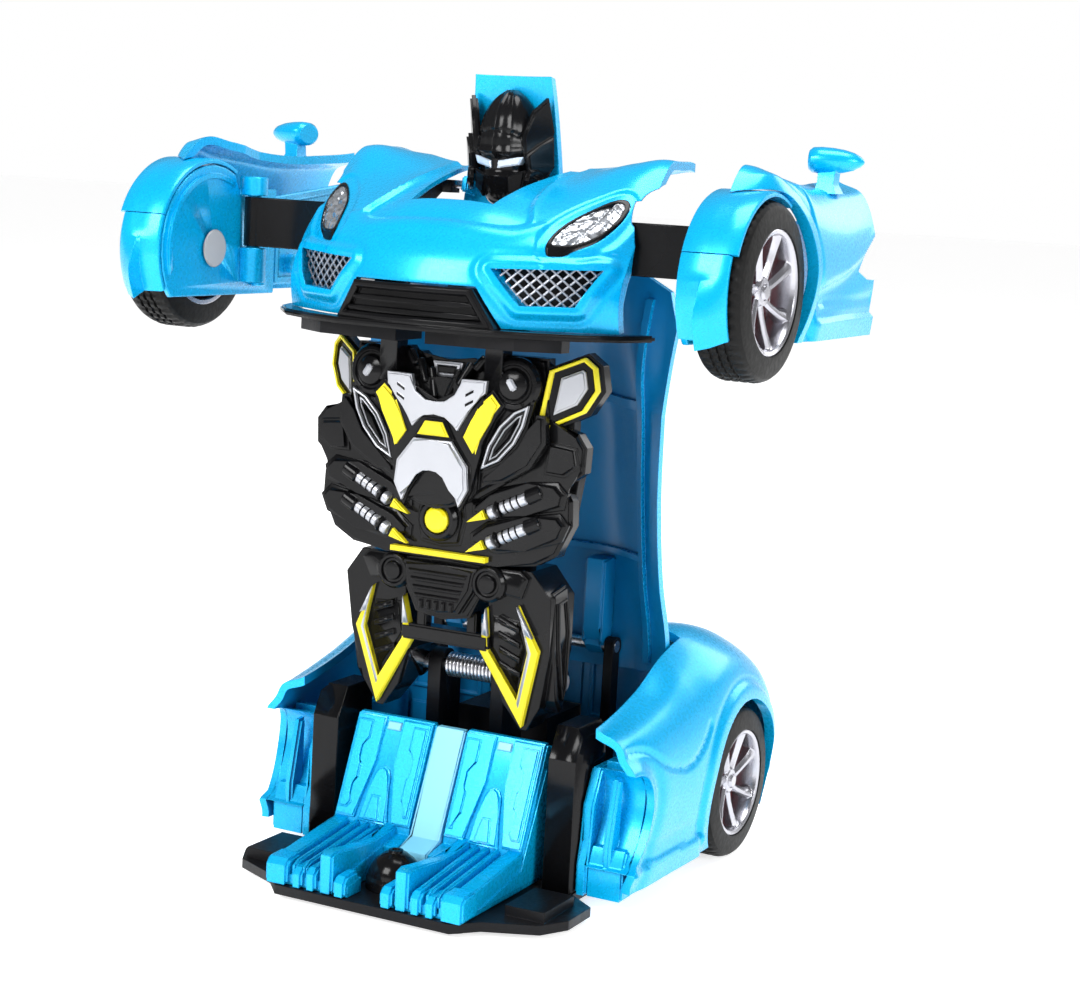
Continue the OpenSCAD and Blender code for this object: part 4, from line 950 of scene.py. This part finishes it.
# ---------------------------------------------------------------- torso
def torso():
    bm = bmesh.new()
    black, silver, yellow = 0, 1, 2
    face = STANDING @ FRONT
    trunk = [(0, 100.6), (5.2, 100.6), (6.4, 101.6), (8.4, 101.6), (9, 102.4), (20, 102.4), (20.4, 91),
        (26.8, 89.4), (28.6, 87), (28.4, 82.4), (25.4, 80.2), (24.8, 79), (26.4, 77.2), (26.6, 72.6), (23.8, 66.8),
        (19.5, 64.4), (12, 63.4), (0, 63.4)]
    plate(bm, mirrored(trunk), 0, 3.2, face, 0.7, black, 3)
    core = [(0, 96.4), (9.6, 97.4), (17.8, 95), (19.4, 90), (17.6, 84.6), (13.4, 79.2), (8, 75.8), (0, 75.2)]
    plate(bm, mirrored(core), 2.5, 5.7, face, 1.2, black, 3)
    chest = [(0, 92.6), (3.6, 94.2), (5.2, 97.2), (10.2, 97.4), (10.6, 91), (8.8, 85), (8.6, 77.2), (5.6, 74.0),
        (0, 77)]
    plate(bm, mirrored(chest), 5.0, 7.4, face, 0.8, black, 3)
    # neck: a plate with rods beside it
    plates(bm, face,
           ([(-3.1, 100.2), (3.1, 100.2), (2.5, 97.4), (-2.5, 97.4)], 3.0, 4.2, 0.3, silver),
           ([(-2.1, 99.5), (2.1, 99.5), (1.7, 98.1), (-1.7, 98.1)], 4.0, 4.5, 0.2, black))
    bib = mirrored([(0, 90.8), (2.4, 90.8), (4.7, 88.2), (6.8, 91.8), (8.2, 93.9), (10.2, 95.6), (10.4, 97.8),
        (5.3, 97.7), (4.4, 94.5), (2.2, 93.0), (0, 92.8)])
    plate(bm, bib, 7.0, 8.3, face, 0.35, silver)
    shield = mirrored([(0, 86.2), (3.95, 86.2), (7.3, 81.8), (7.7, 77.6), (6.0, 74.4), (4.7, 77.6), (3.2, 79.9),
        (1.6, 80.9), (0, 81.1)])
    plates(bm, face,
           (grown(shield, 0.4), 6.4, 7.9, 0.3, black),
           (shield, 7.0, 9.0, 0.55, silver, 3))
    for side in (1, -1):
        lower = STANDING @ sided(side)
        place = lower @ FRONT
        rod(bm, (1.2, -5.8, 93.6), (2.9, -4.6, 99.0), 0.7, lower, black)
        rod(bm, (3.4, -5.6, 96.2), (5.4, -4.4, 100.4), 0.8, lower, black)
        rod(bm, (6.2, -4.6, 99.2), (8.0, -4.0, 101.6), 1.0, lower, black)
        for z in (94.6, 92.8):
            plate(bm, [(6.4, z), (8.0, z + 0.9), (8.0, z + 1.4), (6.4, z + 0.5)], 8.0, 8.45, place, 0.1, black)
        wedge = [(11.3, 95.6), (13.2, 93.6), (11.0, 90.6), (9.4, 86.8), (8.3, 83.2), (5.4, 87.2), (7.4, 90.4),
            (8.8, 93.4)]
        plates(bm, place,
               (grown(wedge, 0.45), 5.4, 7.3, 0.3, black),
               (grown(wedge, -0.1), 5.6, 7.8, 0.45, yellow))
        # leaf: two thin silver lines round a dark middle
        leaf = [(18.5, 94.0), (15.6, 92.6), (12.8, 89.8), (10.6, 86.0), (9.4, 81.6), (12.9, 83.4), (15.9, 86.8),
            (17.6, 90.2)]
        plate(bm, grown(leaf, 0.5), 5.0, 6.2, place, 0.4, black)
        band(bm, leaf, 0.42, 5.8, 6.9, place, silver, 0.12)
        band(bm, grown(leaf, -0.95), 0.25, 5.4, 6.5, place, silver, 0.08)
        plate(bm, grown(leaf, -1.7), 5.4, 6.8, place, 0.4, black)
        # curved armour below the leaf
        plate(bm, [(21.4, 92.4), (21.8, 87.4), (18.8, 82.6), (13.6, 79.4), (8.8, 78.4), (9.2, 80.4), (13.4, 82.2),
            (17.0, 85.6), (19.0, 89.4), (19.6, 92.4)], 4.0, 6.3, place, 0.7, black, 3)
        # shoulder disc with a bolt and small screws
        disc = lower @ toward((14.8, -4.4, 97.4), (0.1, -1, 0.05))
        lathe(bm, [(0, 0), (5.0, 0), (5.0, 1.2), (4.4, 1.9), (3.7, 2.0), (3.4, 1.6), (3.0, 1.6), (2.6, 2.3),
            (1.4, 2.7), (0, 2.8)], disc, black)
        brick(bm, (-0.65, -1.15, 2.4), (0.65, 1.15, 3.3), disc @ Matrix.Rotation(0.6, 4, "Z"), 0.25, silver)
        rod(bm, (-2.6, 1.9, 1.6), (-2.6, 1.9, 2.3), 0.45, disc, silver)
        for a in (200, 250, 300):
            t = math.radians(a)
            rod(bm, (4.0 * math.cos(t), 4.0 * math.sin(t), 1.7), (4.0 * math.cos(t), 4.0 * math.sin(t), 2.2), 0.3,
                disc, black)
        # side wing
        wing = [(25.9, 103.0), (20.6, 100.4), (19.0, 88.8), (26.4, 93.0), (28.4, 97.0), (27.8, 101.2)]
        tilt = lower @ Matrix(((1, 0, 0, 0), (0.62, 1, 0, -0.62 * 19.6), (0, 0, 1, 0), (0, 0, 0, 1))) @ FRONT
        plate(bm, grown(wing, 0.6), 0.2, 3.3, tilt, 0.5, black)
        band(bm, wing, 0.6, 3.0, 4.2, tilt, yellow)
        plate(bm, grown(wing, -1.9), 3.0, 4.0, tilt, 0.35, silver)
        # belly: two lobes, each with a piston, its ring and a yellow tip
        for dz, lobe in ((0.0, [(6.4, 72.6), (6.4, 74.4), (10.0, 77.6), (18, 79.8), (23.6, 80.4), (25.8, 78.4),
                (25.2, 75.6), (18, 73.8), (12, 71.9)]), (-5.6, [(6.4, 67.0), (6.2, 69.0), (9.6, 71.6), (18, 73.6),
                (24.4, 74.8), (26.4, 72.8), (25.0, 69.6), (18, 67.2), (12, 65.9)])):
            plate(bm, lobe, 2.4, 4.6, place, 1.0, black, 3)
            a = Vector((10.6, -4.7, 73.4 + dz))
            b = Vector((18.8, -4.0, 77.4 + dz))
            for t0, t1, r, mat in ((0.0, 0.16, 1.25, silver), (0.18, 0.26, 1.55, black), (0.28, 0.9, 1.15, silver),
                    (0.9, 1.25, 1.5, black)):
                rod(bm, a.lerp(b, t0), a.lerp(b, t1), r, lower, mat)
            for t0 in (0.4, 0.55, 0.7):
                rod(bm, a.lerp(b, t0), a.lerp(b, t0 + 0.03), 1.3, lower, black, 0.05)
            plate(bm, [(6.2, 71.3 + dz), (9.4, 73.9 + dz), (10.2, 72.3 + dz)], 4.2, 5.6, place, 0.3, yellow)
        plate(bm, [(21.4, 87.6), (27.0, 87.0), (27.8, 83.6), (24.8, 81.4), (20.6, 81.6)], 1.6, 4.2, place, 0.7,
            black, 3)
    arch = mirrored([(0, 80.6), (1.5, 80.4), (3.0, 79.4), (4.3, 77.4), (5.2, 74.6), (3.4, 73.8), (0, 73.2)])
    plate(bm, arch, 5.6, 7.0, face, 0.7, black, 3)
    trap = [(1.8, 89.5), (3.3, 86.9), (-3.3, 86.9), (-1.8, 89.5)]
    plates(bm, face,
           (grown(trap, 0.6), 6.8, 8.1, 0.3, black),
           (trap, 7.0, 8.6, 0.3, yellow))
    button = STANDING @ toward((0, -2.6, 71.0), (0, -1, 0))
    plate(bm, mirrored([(0, 76), (4.4, 75.4), (5.2, 71), (4.2, 66.4), (0, 65.8)]), 2.6, 4.0, face, 0.7, black, 3)
    lathe(bm, [(0, 0), (4.1, 0), (4.1, 2.2), (3.5, 2.9), (2.8, 2.9), (2.5, 2.3), (0, 2.3)], button, black)
    lathe(bm, [(0, 1.8), (2.4, 1.8), (2.4, 3.0), (1.9, 3.6), (0, 3.8)], button, yellow)
    plate(bm, [(-10.1, 65.0), (10.1, 65.0), (10.1, 64.0), (-10.1, 64.0)], 2.6, 4.9, face, 0.25, yellow)
    make("torso_chest", bm, "torso", [BLACK, SILVER, YELLOW], ["torso_front"])


def pelvis():
    bm = bmesh.new()
    place = STANDING @ FRONT
    plates(bm, place,
           (mirrored([(0, 63.2), (11.6, 63.2), (8.4, 58), (5.8, 52.6), (0, 51.6)]), -5.5, 2.0, 0.5),
           (mirrored([(0, 62.4), (7.8, 62.4), (7.0, 58), (4.2, 53.4), (0, 52.8)]), 1.6, 4.0, 0.7, 0, 3))
    for k in range(4):
        z = 61.0 - 1.5 * k
        half = 6.2 - 0.5 * k
        plate(bm, [(-half, z), (half, z), (half - 0.2, z - 0.7), (-half + 0.2, z - 0.7)], 3.6, 4.5, place, 0.15)
    for k in range(5):
        x = -3.2 + 1.6 * k
        plate(bm, [(x - 0.35, 55.4), (x + 0.35, 55.4), (x + 0.35, 53.8), (x - 0.35, 53.8)], 3.6, 4.6, place, 0.15)
    for side in (1, -1):
        hip = STANDING @ sided(side) @ toward((10.1, -0.8, 59.9), (0, -1, 0))
        lathe(bm, [(0, 0), (3.5, 0), (3.5, 2.0), (3.0, 2.6), (2.5, 2.6), (2.3, 2.1), (1.8, 2.1), (1.6, 2.8),
            (0, 3.0)], hip)
    brick(bm, (-9.4, -0.6, 46.6), (9.4, 3.2, 49.6), STANDING, 0.4)
    for x in (-5.4, 5.4):
        brick(bm, (x - 1.0, 0.0, 49.0), (x + 1.0, 2.6, 53.6), STANDING)
    make("pelvis_block", bm, "torso", [BLACK], ["pelvis"])


def legs():
    """Thighs with yellow and white V outlines and ribs between them."""
    for side, name in SIDES:
        bm = bmesh.new()
        add_cad(bm, "leg_" + name, 0.5)
        # the front face runs down and back from hip to ankle
        fall = math.degrees(math.atan2(4.6, 30))
        face = STANDING @ sided(side) @ turn_x(fall, -1, 62) @ shift(0, -1, 0) @ FRONT
        v_line = [(8.9, 55.0), (7.4, 46.4), (15.8, 32.3), (19.7, 47.7), (15.5, 56.2), (17.9, 47.6), (15.2, 37.2),
            (9.1, 46.5)]
        plates(bm, face,
               (v_line, -0.5, 1.4, 0.25, 1),
               ([(8.9, 55.0), (8.0, 49.8), (9.2, 49.6)], 0.6, 1.55, 0.1, 2),
               ([(15.5, 56.2), (17.3, 51.0), (18.6, 50.4)], 0.6, 1.55, 0.1, 2),
               ([(17.9, 47.6), (15.2, 37.2), (15.5, 36.4), (18.4, 47.6), (16.4, 53.6)], 0.6, 1.6, 0.08, 2),
               ([(10.0, 53.4), (9.6, 47.2), (14.9, 39.2), (17.0, 47.4), (15.4, 53.0)], -0.6, 0.5, 0.4))
        for k in range(4):
            z = 42.2 + 2.9 * k
            plate(bm, [(11.4, z + 1.6), (15.6, z), (15.8, z + 1.0), (11.4, z + 2.8)], -0.5, 1.2, face, 0.25)
        plate(bm, [(9.4, 58.4), (16.2, 57.6), (17.8, 61.6), (16.2, 63), (11, 63)], -0.5, 1.2, face, 0.5)
        # outer plate with a long recess
        outer = STANDING @ sided(side) @ shift(21.0, 0, 0) @ SIDE
        plate(bm, [(1.0, 59), (6.6, 60), (9.0, 52), (8.8, 40), (6.8, 35.2), (4.6, 38), (2.4, 48)], -3.4, 1.0, outer,
            0.5)
        band(bm, [(2.4, 57), (6.0, 57.6), (7.8, 51), (7.6, 41), (6.4, 38), (5.4, 41), (3.4, 49)], 0.5, 0.8, 1.5,
            outer)
        make("leg_" + name + "_shaped", bm, "torso", [BLACK, YELLOW, SILVER], ["leg_" + name])


# ---------------------------------------------------------------- boots
SLOPE_FOOT, SLOPE_TOP = (-3.3, 10.1), (4.6, 29.8)


def face_between(low, high):
    """Axes of a sloping face: u across, v up the slope, h out of it."""
    d = Vector((0, high[0] - low[0], high[1] - low[1])).normalized()
    out = Vector((1, 0, 0)).cross(d)
    m = Matrix(((1, 0, 0), (0, d.y, out.y), (0, d.z, out.z))).to_4x4()
    return shift(0, low[0], low[1]) @ m


def boots():
    for side, name in SIDES:
        bm = bmesh.new()
        place = STANDING @ sided(side)
        across = place @ SIDE
        slope = place @ face_between(SLOPE_FOOT, SLOPE_TOP)
        # body behind the sloping face, and the wedge under the toes
        plate(bm, [(-3.4, 3.1), (-3.4, 9.9), (4.5, 29.7), (5.7, 29.7), (6.6, 27.4), (12.8, 27.2), (12.8, 3.1)], 3.4,
            20.6, across, 0.4, both=True)
        plates(bm, across,
               ([(-25.2, 3.1), (-25.2, 5.0), (-3.0, 9.4), (-3.0, 3.1)], 6.2, 20.5, 0.2),
               ([(-25.2, 3.1), (-25.2, 5.0), (-20.6, 5.8), (-20.6, 3.1)], 3.6, 7, 0.2),
               ([(-8.6, 3.1), (-8.6, 8.2), (-3.0, 9.4), (-3.0, 3.1)], 3.5, 7, 0.2))
        # raised panels with stepped edges beside a tapering recess
        for panel, h in (([(3.8, 0.6), (8.0, 0.6), (8.6, 5), (10.0, 12), (10.2, 20.7), (3.8, 20.7)], 0.8),
                ([(4.4, 2.2), (5.4, 2.2), (5.4, 4.2), (6.6, 5.4), (6.6, 9.4), (5.6, 10.4), (5.6, 13.4), (7.4, 15.2),
                (7.4, 19.6), (4.4, 19.6)], 1.25), ([(20.3, 0.6), (16.2, 0.6), (15.6, 5), (14.2, 12), (14.0, 20.7),
                (20.3, 20.7)], 0.8), ([(19.7, 2.2), (18.0, 2.2), (17.2, 3.4), (18.2, 4.8), (18.2, 7.0), (17.0, 8.2),
                (17.0, 11), (18.0, 12.2), (18.0, 14.6), (16.4, 16.2), (16.4, 19.6), (19.7, 19.6)], 1.25)):
            plate(bm, panel, -0.8, h, slope, 0.28)
        plates(bm, slope,
               ([(10.6, 18.4), (13.6, 18.4), (13.6, 20.0), (10.6, 20.0)], -0.6, 0.35, 0.15, 1),
               ([(8.8, 0.2), (15.4, 0.2), (14.2, 6.2), (13.9, 9.4), (13.2, 10.8), (12.1, 11.3), (11.0, 10.8),
                 (10.3, 9.4), (10.0, 6.2)], -0.6, 0.9, 0.5, 0, 3),
               ([(10.4, 0.6), (13.8, 0.6), (13.0, 5.4), (11.2, 5.4)], 0.3, 1.35))
        # sloping ribs of the toes, and the blocks along their front edge
        low_rib = [(-25.2, 4), (-25.2, 6.9), (-23.6, 7.8), (-5.0, 10.0), (-3.0, 10.6), (-3.0, 5)]
        for x0, x1 in ((10.4, 11.5), (12.6, 13.7), (14.8, 15.9), (17.2, 20.6)):
            plate(bm, low_rib, x0, x1, across, 0.35, both=True)
        plate(bm, [(-26.0, 3.2), (-26.0, 10.4), (-24.6, 11.0), (-13.0, 9.6), (-8.4, 9.4), (-3.0, 11.0), (-3.0, 5)],
            6.6, 9.4, across, 0.45, both=True)
        block_side = [(-26.3, 3.2), (-26.3, 6.8), (-25.2, 8.0), (-21.6, 8.2), (-20.2, 6.2), (-20.2, 3.2)]
        for x0, x1, drop in ((3.7, 6.2, 1.0), (10.0, 12.2, 0.6), (13.0, 15.2, 1.1), (16.2, 20.9, 0.0)):
            plate(bm, [(y, max(3.2, z - drop)) for y, z in block_side], x0, x1, across, 0.45, both=True)
        # stepped flank
        plate(bm, [(-23, 4), (-4, 7), (4.2, 25), (11, 25), (11, 4)], 20.2, 20.9, across, 0.25)
        make("boot_" + name + "_shaped", bm, "base", [BLUE, LIGHT_BLUE], ["boot_" + name])
    bm = bmesh.new()
    plate(bm, [(-8.6, 3.1), (-8.6, 8.2), (-3.8, 9.6), (4.1, 29.4), (5.6, 29.4), (6.6, 27.2), (12, 27), (12, 3.1)],
        -3.2, 3.2, STANDING @ SIDE, both=True)
    slope = STANDING @ face_between(SLOPE_FOOT, SLOPE_TOP)
    plate(bm, [(-2.8, 1.4), (2.8, 1.4), (2.8, 20.6), (-2.8, 20.6)], -0.8, 0.15, slope, 0.2)
    make("boot_middle_strip", bm, "base", [LIGHT_BLUE], ["boot_strip"])
    bm = bmesh.new()
    dome = STANDING @ shift(0, -14.5, 3.05)
    lathe(bm, [(0, 0), (5.4, 0), (5.4, 1.8), (4.9, 2.4), (4.9, 3.0), (4.5, 4.2), (3.6, 5.4), (2.2, 6.5), (0.9, 6.9),
        (0, 6.95)], dome, 0, 48)
    lathe(bm, [(1.4, 6.0), (1.4, 7.1), (0.8, 7.2), (0.8, 6.0)], dome, 0, 24, closed=True)
    make("toe_dome", bm, "base", [BLACK], ["foot_dome"])


# ---------------------------------------------------------------- head
def head():
    """A generic helmet: seam across the forehead, crest lines, leaf-shaped ear fins and a slit for the eyes."""
    profile = [(128.7, 2.4), (129.6, 3.9), (131.2, 4.8), (133.5, 5.5), (136.0, 5.9), (139.0, 6.1), (142.0, 6.0),
        (145.0, 5.4), (147.4, 4.3), (149.2, 2.7), (150.3, 1.0)]
    zs = np.linspace(0, len(profile) - 1, 70)
    knots = np.array(profile)
    rows = spline(knots, zs)
    bm = bmesh.new()
    around = 96
    rings = []
    for z, r in rows:
        ring = []
        for i in range(around):
            a = 2 * math.pi * i / around
            x, y = math.sin(a), -math.cos(a)          # a = 0 faces the front
            front = max(0.0, -y)
            rx, ry = r * 0.98, r * 1.12
            d = 0.0
            # three fine crest lines over the dome, and the seam across the forehead
            for mid, h in ((0.0, 0.30), (0.50, 0.28), (-0.50, 0.28)):
                d += h * math.exp(-((x - mid) / 0.06) ** 2) * (z > 137.8) * front ** 0.3
            d -= 0.35 * math.exp(-((z - 142.6 + 1.4 * x * x) / 0.28) ** 2) * front ** 0.5
            # rim over the eyes, and the face set back below it
            brow = 138.2 + 0.5 * abs(x)
            d += 0.35 * math.exp(-((z - brow - 0.5) / 0.5) ** 2) * front ** 0.5
            if z < brow and front > 0.2:
                d -= 0.9 * min(1.0, (brow - z) / 0.5) * min(1.0, (front - 0.2) * 4)
            # cheeks rising to a plain chin
            if z < 135.2 and front > 0.3:
                d += 0.75 * min(1.0, (135.2 - z) / 0.9) * min(1.0, (front - 0.3) * 5)
            ring.append(bm.verts.new(STANDING @ Vector(((rx + d) * x, HEAD_Y - 0.4 + (ry + d) * y
                * (1 if y < 0 else 0.25), z))))
        rings.append(ring)
    for a, b in zip(rings, rings[1:]):
        for i in range(around):
            j = (i + 1) % around
            bm.faces.new([a[i], a[j], b[j], b[i]])
    bm.faces.new(rings[0][::-1])
    bm.faces.new(rings[-1])
    for side in (1, -1):
        # leaf-shaped fin that faces forwards and outwards, a pod over its foot, and a boss
        place = STANDING @ sided(side)
        ear = (place @ shift(5.3, 14.6, 131) @ Matrix.Rotation(math.radians(-32), 4, "Z")
            @ Matrix.Rotation(math.radians(6), 4, "Y") @ shift(0, -14.6, -131) @ SIDE)
        plates(bm, ear,
               ([(11.6, 142.0), (12.2, 138.0), (14.6, 135.6), (17.6, 138.2), (18.2, 143.0), (16.2, 149.2),
                 (13.4, 146.6)], -0.6, 0.9, 0.35),
               ([(12.2, 138.6), (13.2, 134.6), (16.4, 133.2), (18.4, 136.6), (17.6, 142.2), (15.0, 140.6)], 0.2,
                 1.9, 0.4),
               both=True)
        lathe(bm, [(0, 0), (2.1, 0), (2.1, 0.7), (1.6, 1.2), (0.9, 1.2), (0.7, 0.9), (0, 0.9)],
            place @ toward((6.2, 13.6, 134.0), (1, -0.5, 0)), 0, 28)
        cheek = place @ Matrix(((1, 0, 0, 0), (0.5, 1, 0, 0), (0, 0, 1, 0), (0, 0, 0, 1))) @ shift(0, 9.6,
            0) @ FRONT
        plate(bm, [(2.2, 134.6), (5.4, 135.6), (5.0, 132.2), (2.8, 130.4)], -1.2, 0.3, cheek)
    make("helmet", bm, "head", [BLACK], ["head_casting"], 32)
    eyes = bmesh.new()
    for side in (1, -1):
        eye = STANDING @ sided(side) @ Matrix(((1, 0, 0, 0), (0.42, 1, 0, 0), (0, 0, 1, 0),
            (0, 0, 0, 1))) @ shift(0, 9.6, 0) @ FRONT
        plate(eyes, [(0.7, 135.7), (4.4, 136.5), (5.1, 138.0), (4.2, 137.9), (0.8, 137.1)], -1.6, 0.3, eye, 0.2)
    make("eye_slits", eyes, "head", [EYE], ["face_mask"])


# ---------------------------------------------------------------- bumper, mirrors, arm insides
def bumper():
    """The splitter: a curved frame with two slats in the nose's mouth, on a thin lip."""
    bm = bmesh.new()
    steps = np.linspace(0, 12, 5)
    top, low = 12.8, 5.6

    def level(half, z, height):
        across = np.linspace(-half, half, 9)
        return [(x, z) for x in across] + [(x, z + height) for x in across[::-1]]

    outline = [(x, top) for x in steps] + [(16.4, low)] + [(x, low) for x in steps[::-1]]
    outline = outline[1:-1] + [(-x, z) for x, z in outline[::-1]]
    plate(bm, grown(outline, -0.4), 85.0, 87.0, CHEST @ FRONT, 0.2)
    band(bm, outline, 1.5, 85.6, 88.5, CHEST @ FRONT, 0, 0.45)
    for z in (7.3, 9.3):
        plate(bm, level(14.8 - (z - low) * 0.6, z, 0.9), 86, 87.9, CHEST @ FRONT, 0.25)
    for v in bm.verts:
        v.co.y += STATION_BOW[0] * (v.co.x / SECTION_BOW_X) ** 2
    lip = [(0, -88.4), (14.5, -88), (22, -85.4), (30.4, -80.4), (36, -73.6), (38.7, -66.6), (35.6, -66.6),
        (33, -72.6), (28.4, -77.6), (20, -82.6), (12, -84.6), (0, -85)]
    plate(bm, mirrored(lip), 4.7, LIP_TOP, CHEST, both=True)
    brick(bm, (-2.4, -86, 6.2), (2.4, -70.1, 8.2), CHEST)
    make("front_lip", bm, "bumper", [BLACK], ["bumper_lip"])


def mirrors():
    for side, name in SIDES:
        bm = bmesh.new()
        place = arm_place(side)
        pod = place @ shift(32.6, -15.6, 38.4) @ Matrix.Rotation(math.radians(90), 4,
            "Y") @ Matrix.Rotation(math.radians(-12), 4, "X")
        squeeze = Matrix.Diagonal((0.80, 1.1, 1, 1))
        lathe(bm, [(0, -0.2), (2.3, -0.1), (2.9, 0.5), (3.05, 2.0), (2.95, 4.0), (2.6, 6.2), (2.0, 8.0), (1.2, 9.2),
            (0.5, 9.8), (0, 9.95)], pod @ squeeze)
        loft(bm, [[(34.2, -17.4, 32.4), (38.4, -17.0, 32.4), (38.4, -12.6, 32.4), (34.2, -12.6, 32.4)],
            [(34.6, -16.8, 34.2), (37.6, -16.6, 34.2), (37.6, -13.4, 34.2), (34.6, -13.4, 34.2)],
            [(34.6, -16.6, 37.6), (38.0, -16.4, 37.6), (38.0, -13.8, 37.6), (34.6, -13.8, 37.6)]], place)
        make("mirror_pod_" + name, bm, "arm_" + name, [BLUE], ["mirror_" + name], 40)


def arm_insides():
    for side, name in SIDES:
        place = arm_place(side)
        bm = bmesh.new()
        add_cad(bm, "wheel_wall_" + name)
        inner = place @ FLIP @ shift(-30.4, 0, 0) @ SIDE
        # half-round bead over the wheel, and the door's inner box
        arc = [(-HALF_BASE + (TYRE_R - 1.2) * math.cos(math.radians(a)), TYRE_R + (TYRE_R - 1.2)
            * math.sin(math.radians(a))) for a in range(200, 60, -8)]
        back = [(-HALF_BASE + (TYRE_R - 2.2) * math.cos(math.radians(a)), TYRE_R + (TYRE_R - 2.2)
            * math.sin(math.radians(a))) for a in range(60, 201, 8)]
        plate(bm, arc + back, -0.4, 0.7, inner, 0.25)
        door = [(-29.6, 8.0), (-29.6, 25.6), (-4, 28.6), (-1.4, 24.2), (-3.4, 17.4), (-1.4, 8.0)]
        plate(bm, door, -1.2, 0.0, place @ shift(31.8, 0, 0) @ SIDE, 0.4, both=True)
        band(bm, grown(door, -1.2), 0.8, 0.8, 1.6, place @ FLIP @ shift(-32.2, 0, 0) @ SIDE, 0, 0.2)
        # hinge barrel between panel and link
        rod(bm, (29.6, -36.6, 8), (29.6, -36.6, 15.4), 1.5, place, 0, 0.3)
        lathe(bm, [(0, 0), (2.0, 0), (2.0, 1.4), (1.4, 1.8), (0, 1.2)], place @ toward((30.6, -24, 12.2),
            (-1, 0, 0)), 0, 28)
        make("wheel_wall_" + name + "_shaped", bm, "arm_" + name, [BLUE], ["wheel_wall_" + name])
        bm = bmesh.new()
        add_cad(bm, "axle_front_" + name, 0.25)
        make("axle_cap_" + name, bm, "arm_" + name, [GREY], ["axle_front_" + name])


# ---------------------------------------------------------------- put together
def dress_cad():
    """Materials for the CAD nodes that stay as they are."""
    steel = ["leg_pin", "leg_spring", "roof_pin", "base_screws", "rear_axle", "torso_screws", "chest_pins",
        "latch_lever"]
    for look, nodes in ((STEEL, steel), (GEAR, ["axle_gear", "idler_gear"]), (SILVER, ["flywheel"]),
            (SATIN, ["drive_housing"])):
        for node in nodes:
            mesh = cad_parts[node].data
            mesh.materials.clear()
            mesh.materials.append(look)
            mesh.shade_flat()


def build():
    for step in (rear_body, hood, head_plate, roof, arms, headlights, grilles, engine, wheels, torso, pelvis, legs,
            boots, head, bumper, mirrors, arm_insides):
        step()
    for node, body, look in (("base_plate", "base", SATIN), ("tail_panel", "base", SATIN),
            ("hinge_bracket", "base", SATIN), ("pillar_left", "base", BLACK), ("pillar_right", "base", BLACK),
            ("torso_back", "torso", SATIN), ("neck_arms", "torso", BLACK), ("chest_frame", "chest", SATIN),
            ("link_left", "link_left", BLACK), ("link_right", "link_right", BLACK)):
        rounded(node, body, look)
    dress_cad()


def studio():
    """Pale floor that reads as white, a world that is white low down and darker overhead, and four soft lamps."""
    mesh = bpy.data.meshes.new("floor")
    bm = bmesh.new()
    bmesh.ops.create_grid(bm, x_segments=1, y_segments=1, size=6)
    bm.to_mesh(mesh)
    bm.free()
    floor = linked("floor", mesh)
    floor.location.z = cad_box[0][2]
    look = bpy.data.materials.new("floor_paper")
    look.use_nodes = True
    for key, value in (("Base Color", (0.9, 0.9, 0.9, 1)), ("Roughness", 0.6), ("Emission Color", (1, 1, 1, 1)),
            ("Emission Strength", 0.74)):
        look.node_tree.nodes["Principled BSDF"].inputs[key].default_value = value
    mesh.materials.append(look)
    world = bpy.data.worlds.new("studio")
    world.use_nodes = True
    tree = world.node_tree
    # dark overhead keeps gloss black dark between the lamps
    place = shader_node(tree, "TexCoord")
    parts = shader_node(tree, "SeparateXYZ")
    fade = shader_node(tree, "MapRange", From_Min=0.09, From_Max=0.14, To_Min=1.0, To_Max=0.24)
    fade.interpolation_type = "SMOOTHSTEP"
    tree.links.new(place.outputs["Generated"], parts.inputs["Vector"])
    tree.links.new(parts.outputs["Z"], fade.inputs["Value"])
    tree.links.new(fade.outputs["Result"], tree.nodes["Background"].inputs["Strength"])
    tree.nodes["Background"].inputs["Color"].default_value = (1, 1, 1, 1)
    bpy.context.scene.world = world
    centre = Vector((0.0, 0.0, 0.08))
    for name, place, size, power in (("key", (-0.22, -0.85, 0.58), 0.45, 11.0), ("fill", (0.85, -0.30, 0.38), 0.30,
            4.0), ("top", (0.10, 0.05, 0.95), 0.5, 7.0), ("rim", (0.35, 0.85, 0.5), 0.5, 3.0)):
        data = bpy.data.lights.new(name, "AREA")
        data.size = size
        data.energy = power
        lamp = linked(name, data)
        lamp.location = place
        lamp.rotation_euler = (centre - Vector(place)).to_track_quat("-Z", "Y").to_euler()
    bpy.context.scene.view_settings.view_transform = "Standard"


def camera():
    """Seen from the front left of the robot and a little above, rolled slightly, as in the photograph."""
    around, down, roll = math.radians(26.8), math.radians(8.6), math.radians(3.2)
    look = Vector((-math.sin(around) * math.cos(down), math.cos(around) * math.cos(down), -math.sin(down)))
    right = Vector((math.cos(around), math.sin(around), 0))
    up = right.cross(look)
    side = right * math.cos(roll) + up * math.sin(roll)
    top = -right * math.sin(roll) + up * math.cos(roll)
    data = bpy.data.cameras.new("camera")
    data.lens = 74
    cam = linked("camera", data)
    place = Matrix((side, top, -look)).transposed().to_4x4()
    place.translation = Vector((0.1993, -0.3845, 0.1363))
    cam.matrix_world = place
    bpy.context.scene.camera = cam


build()
studio()
camera()
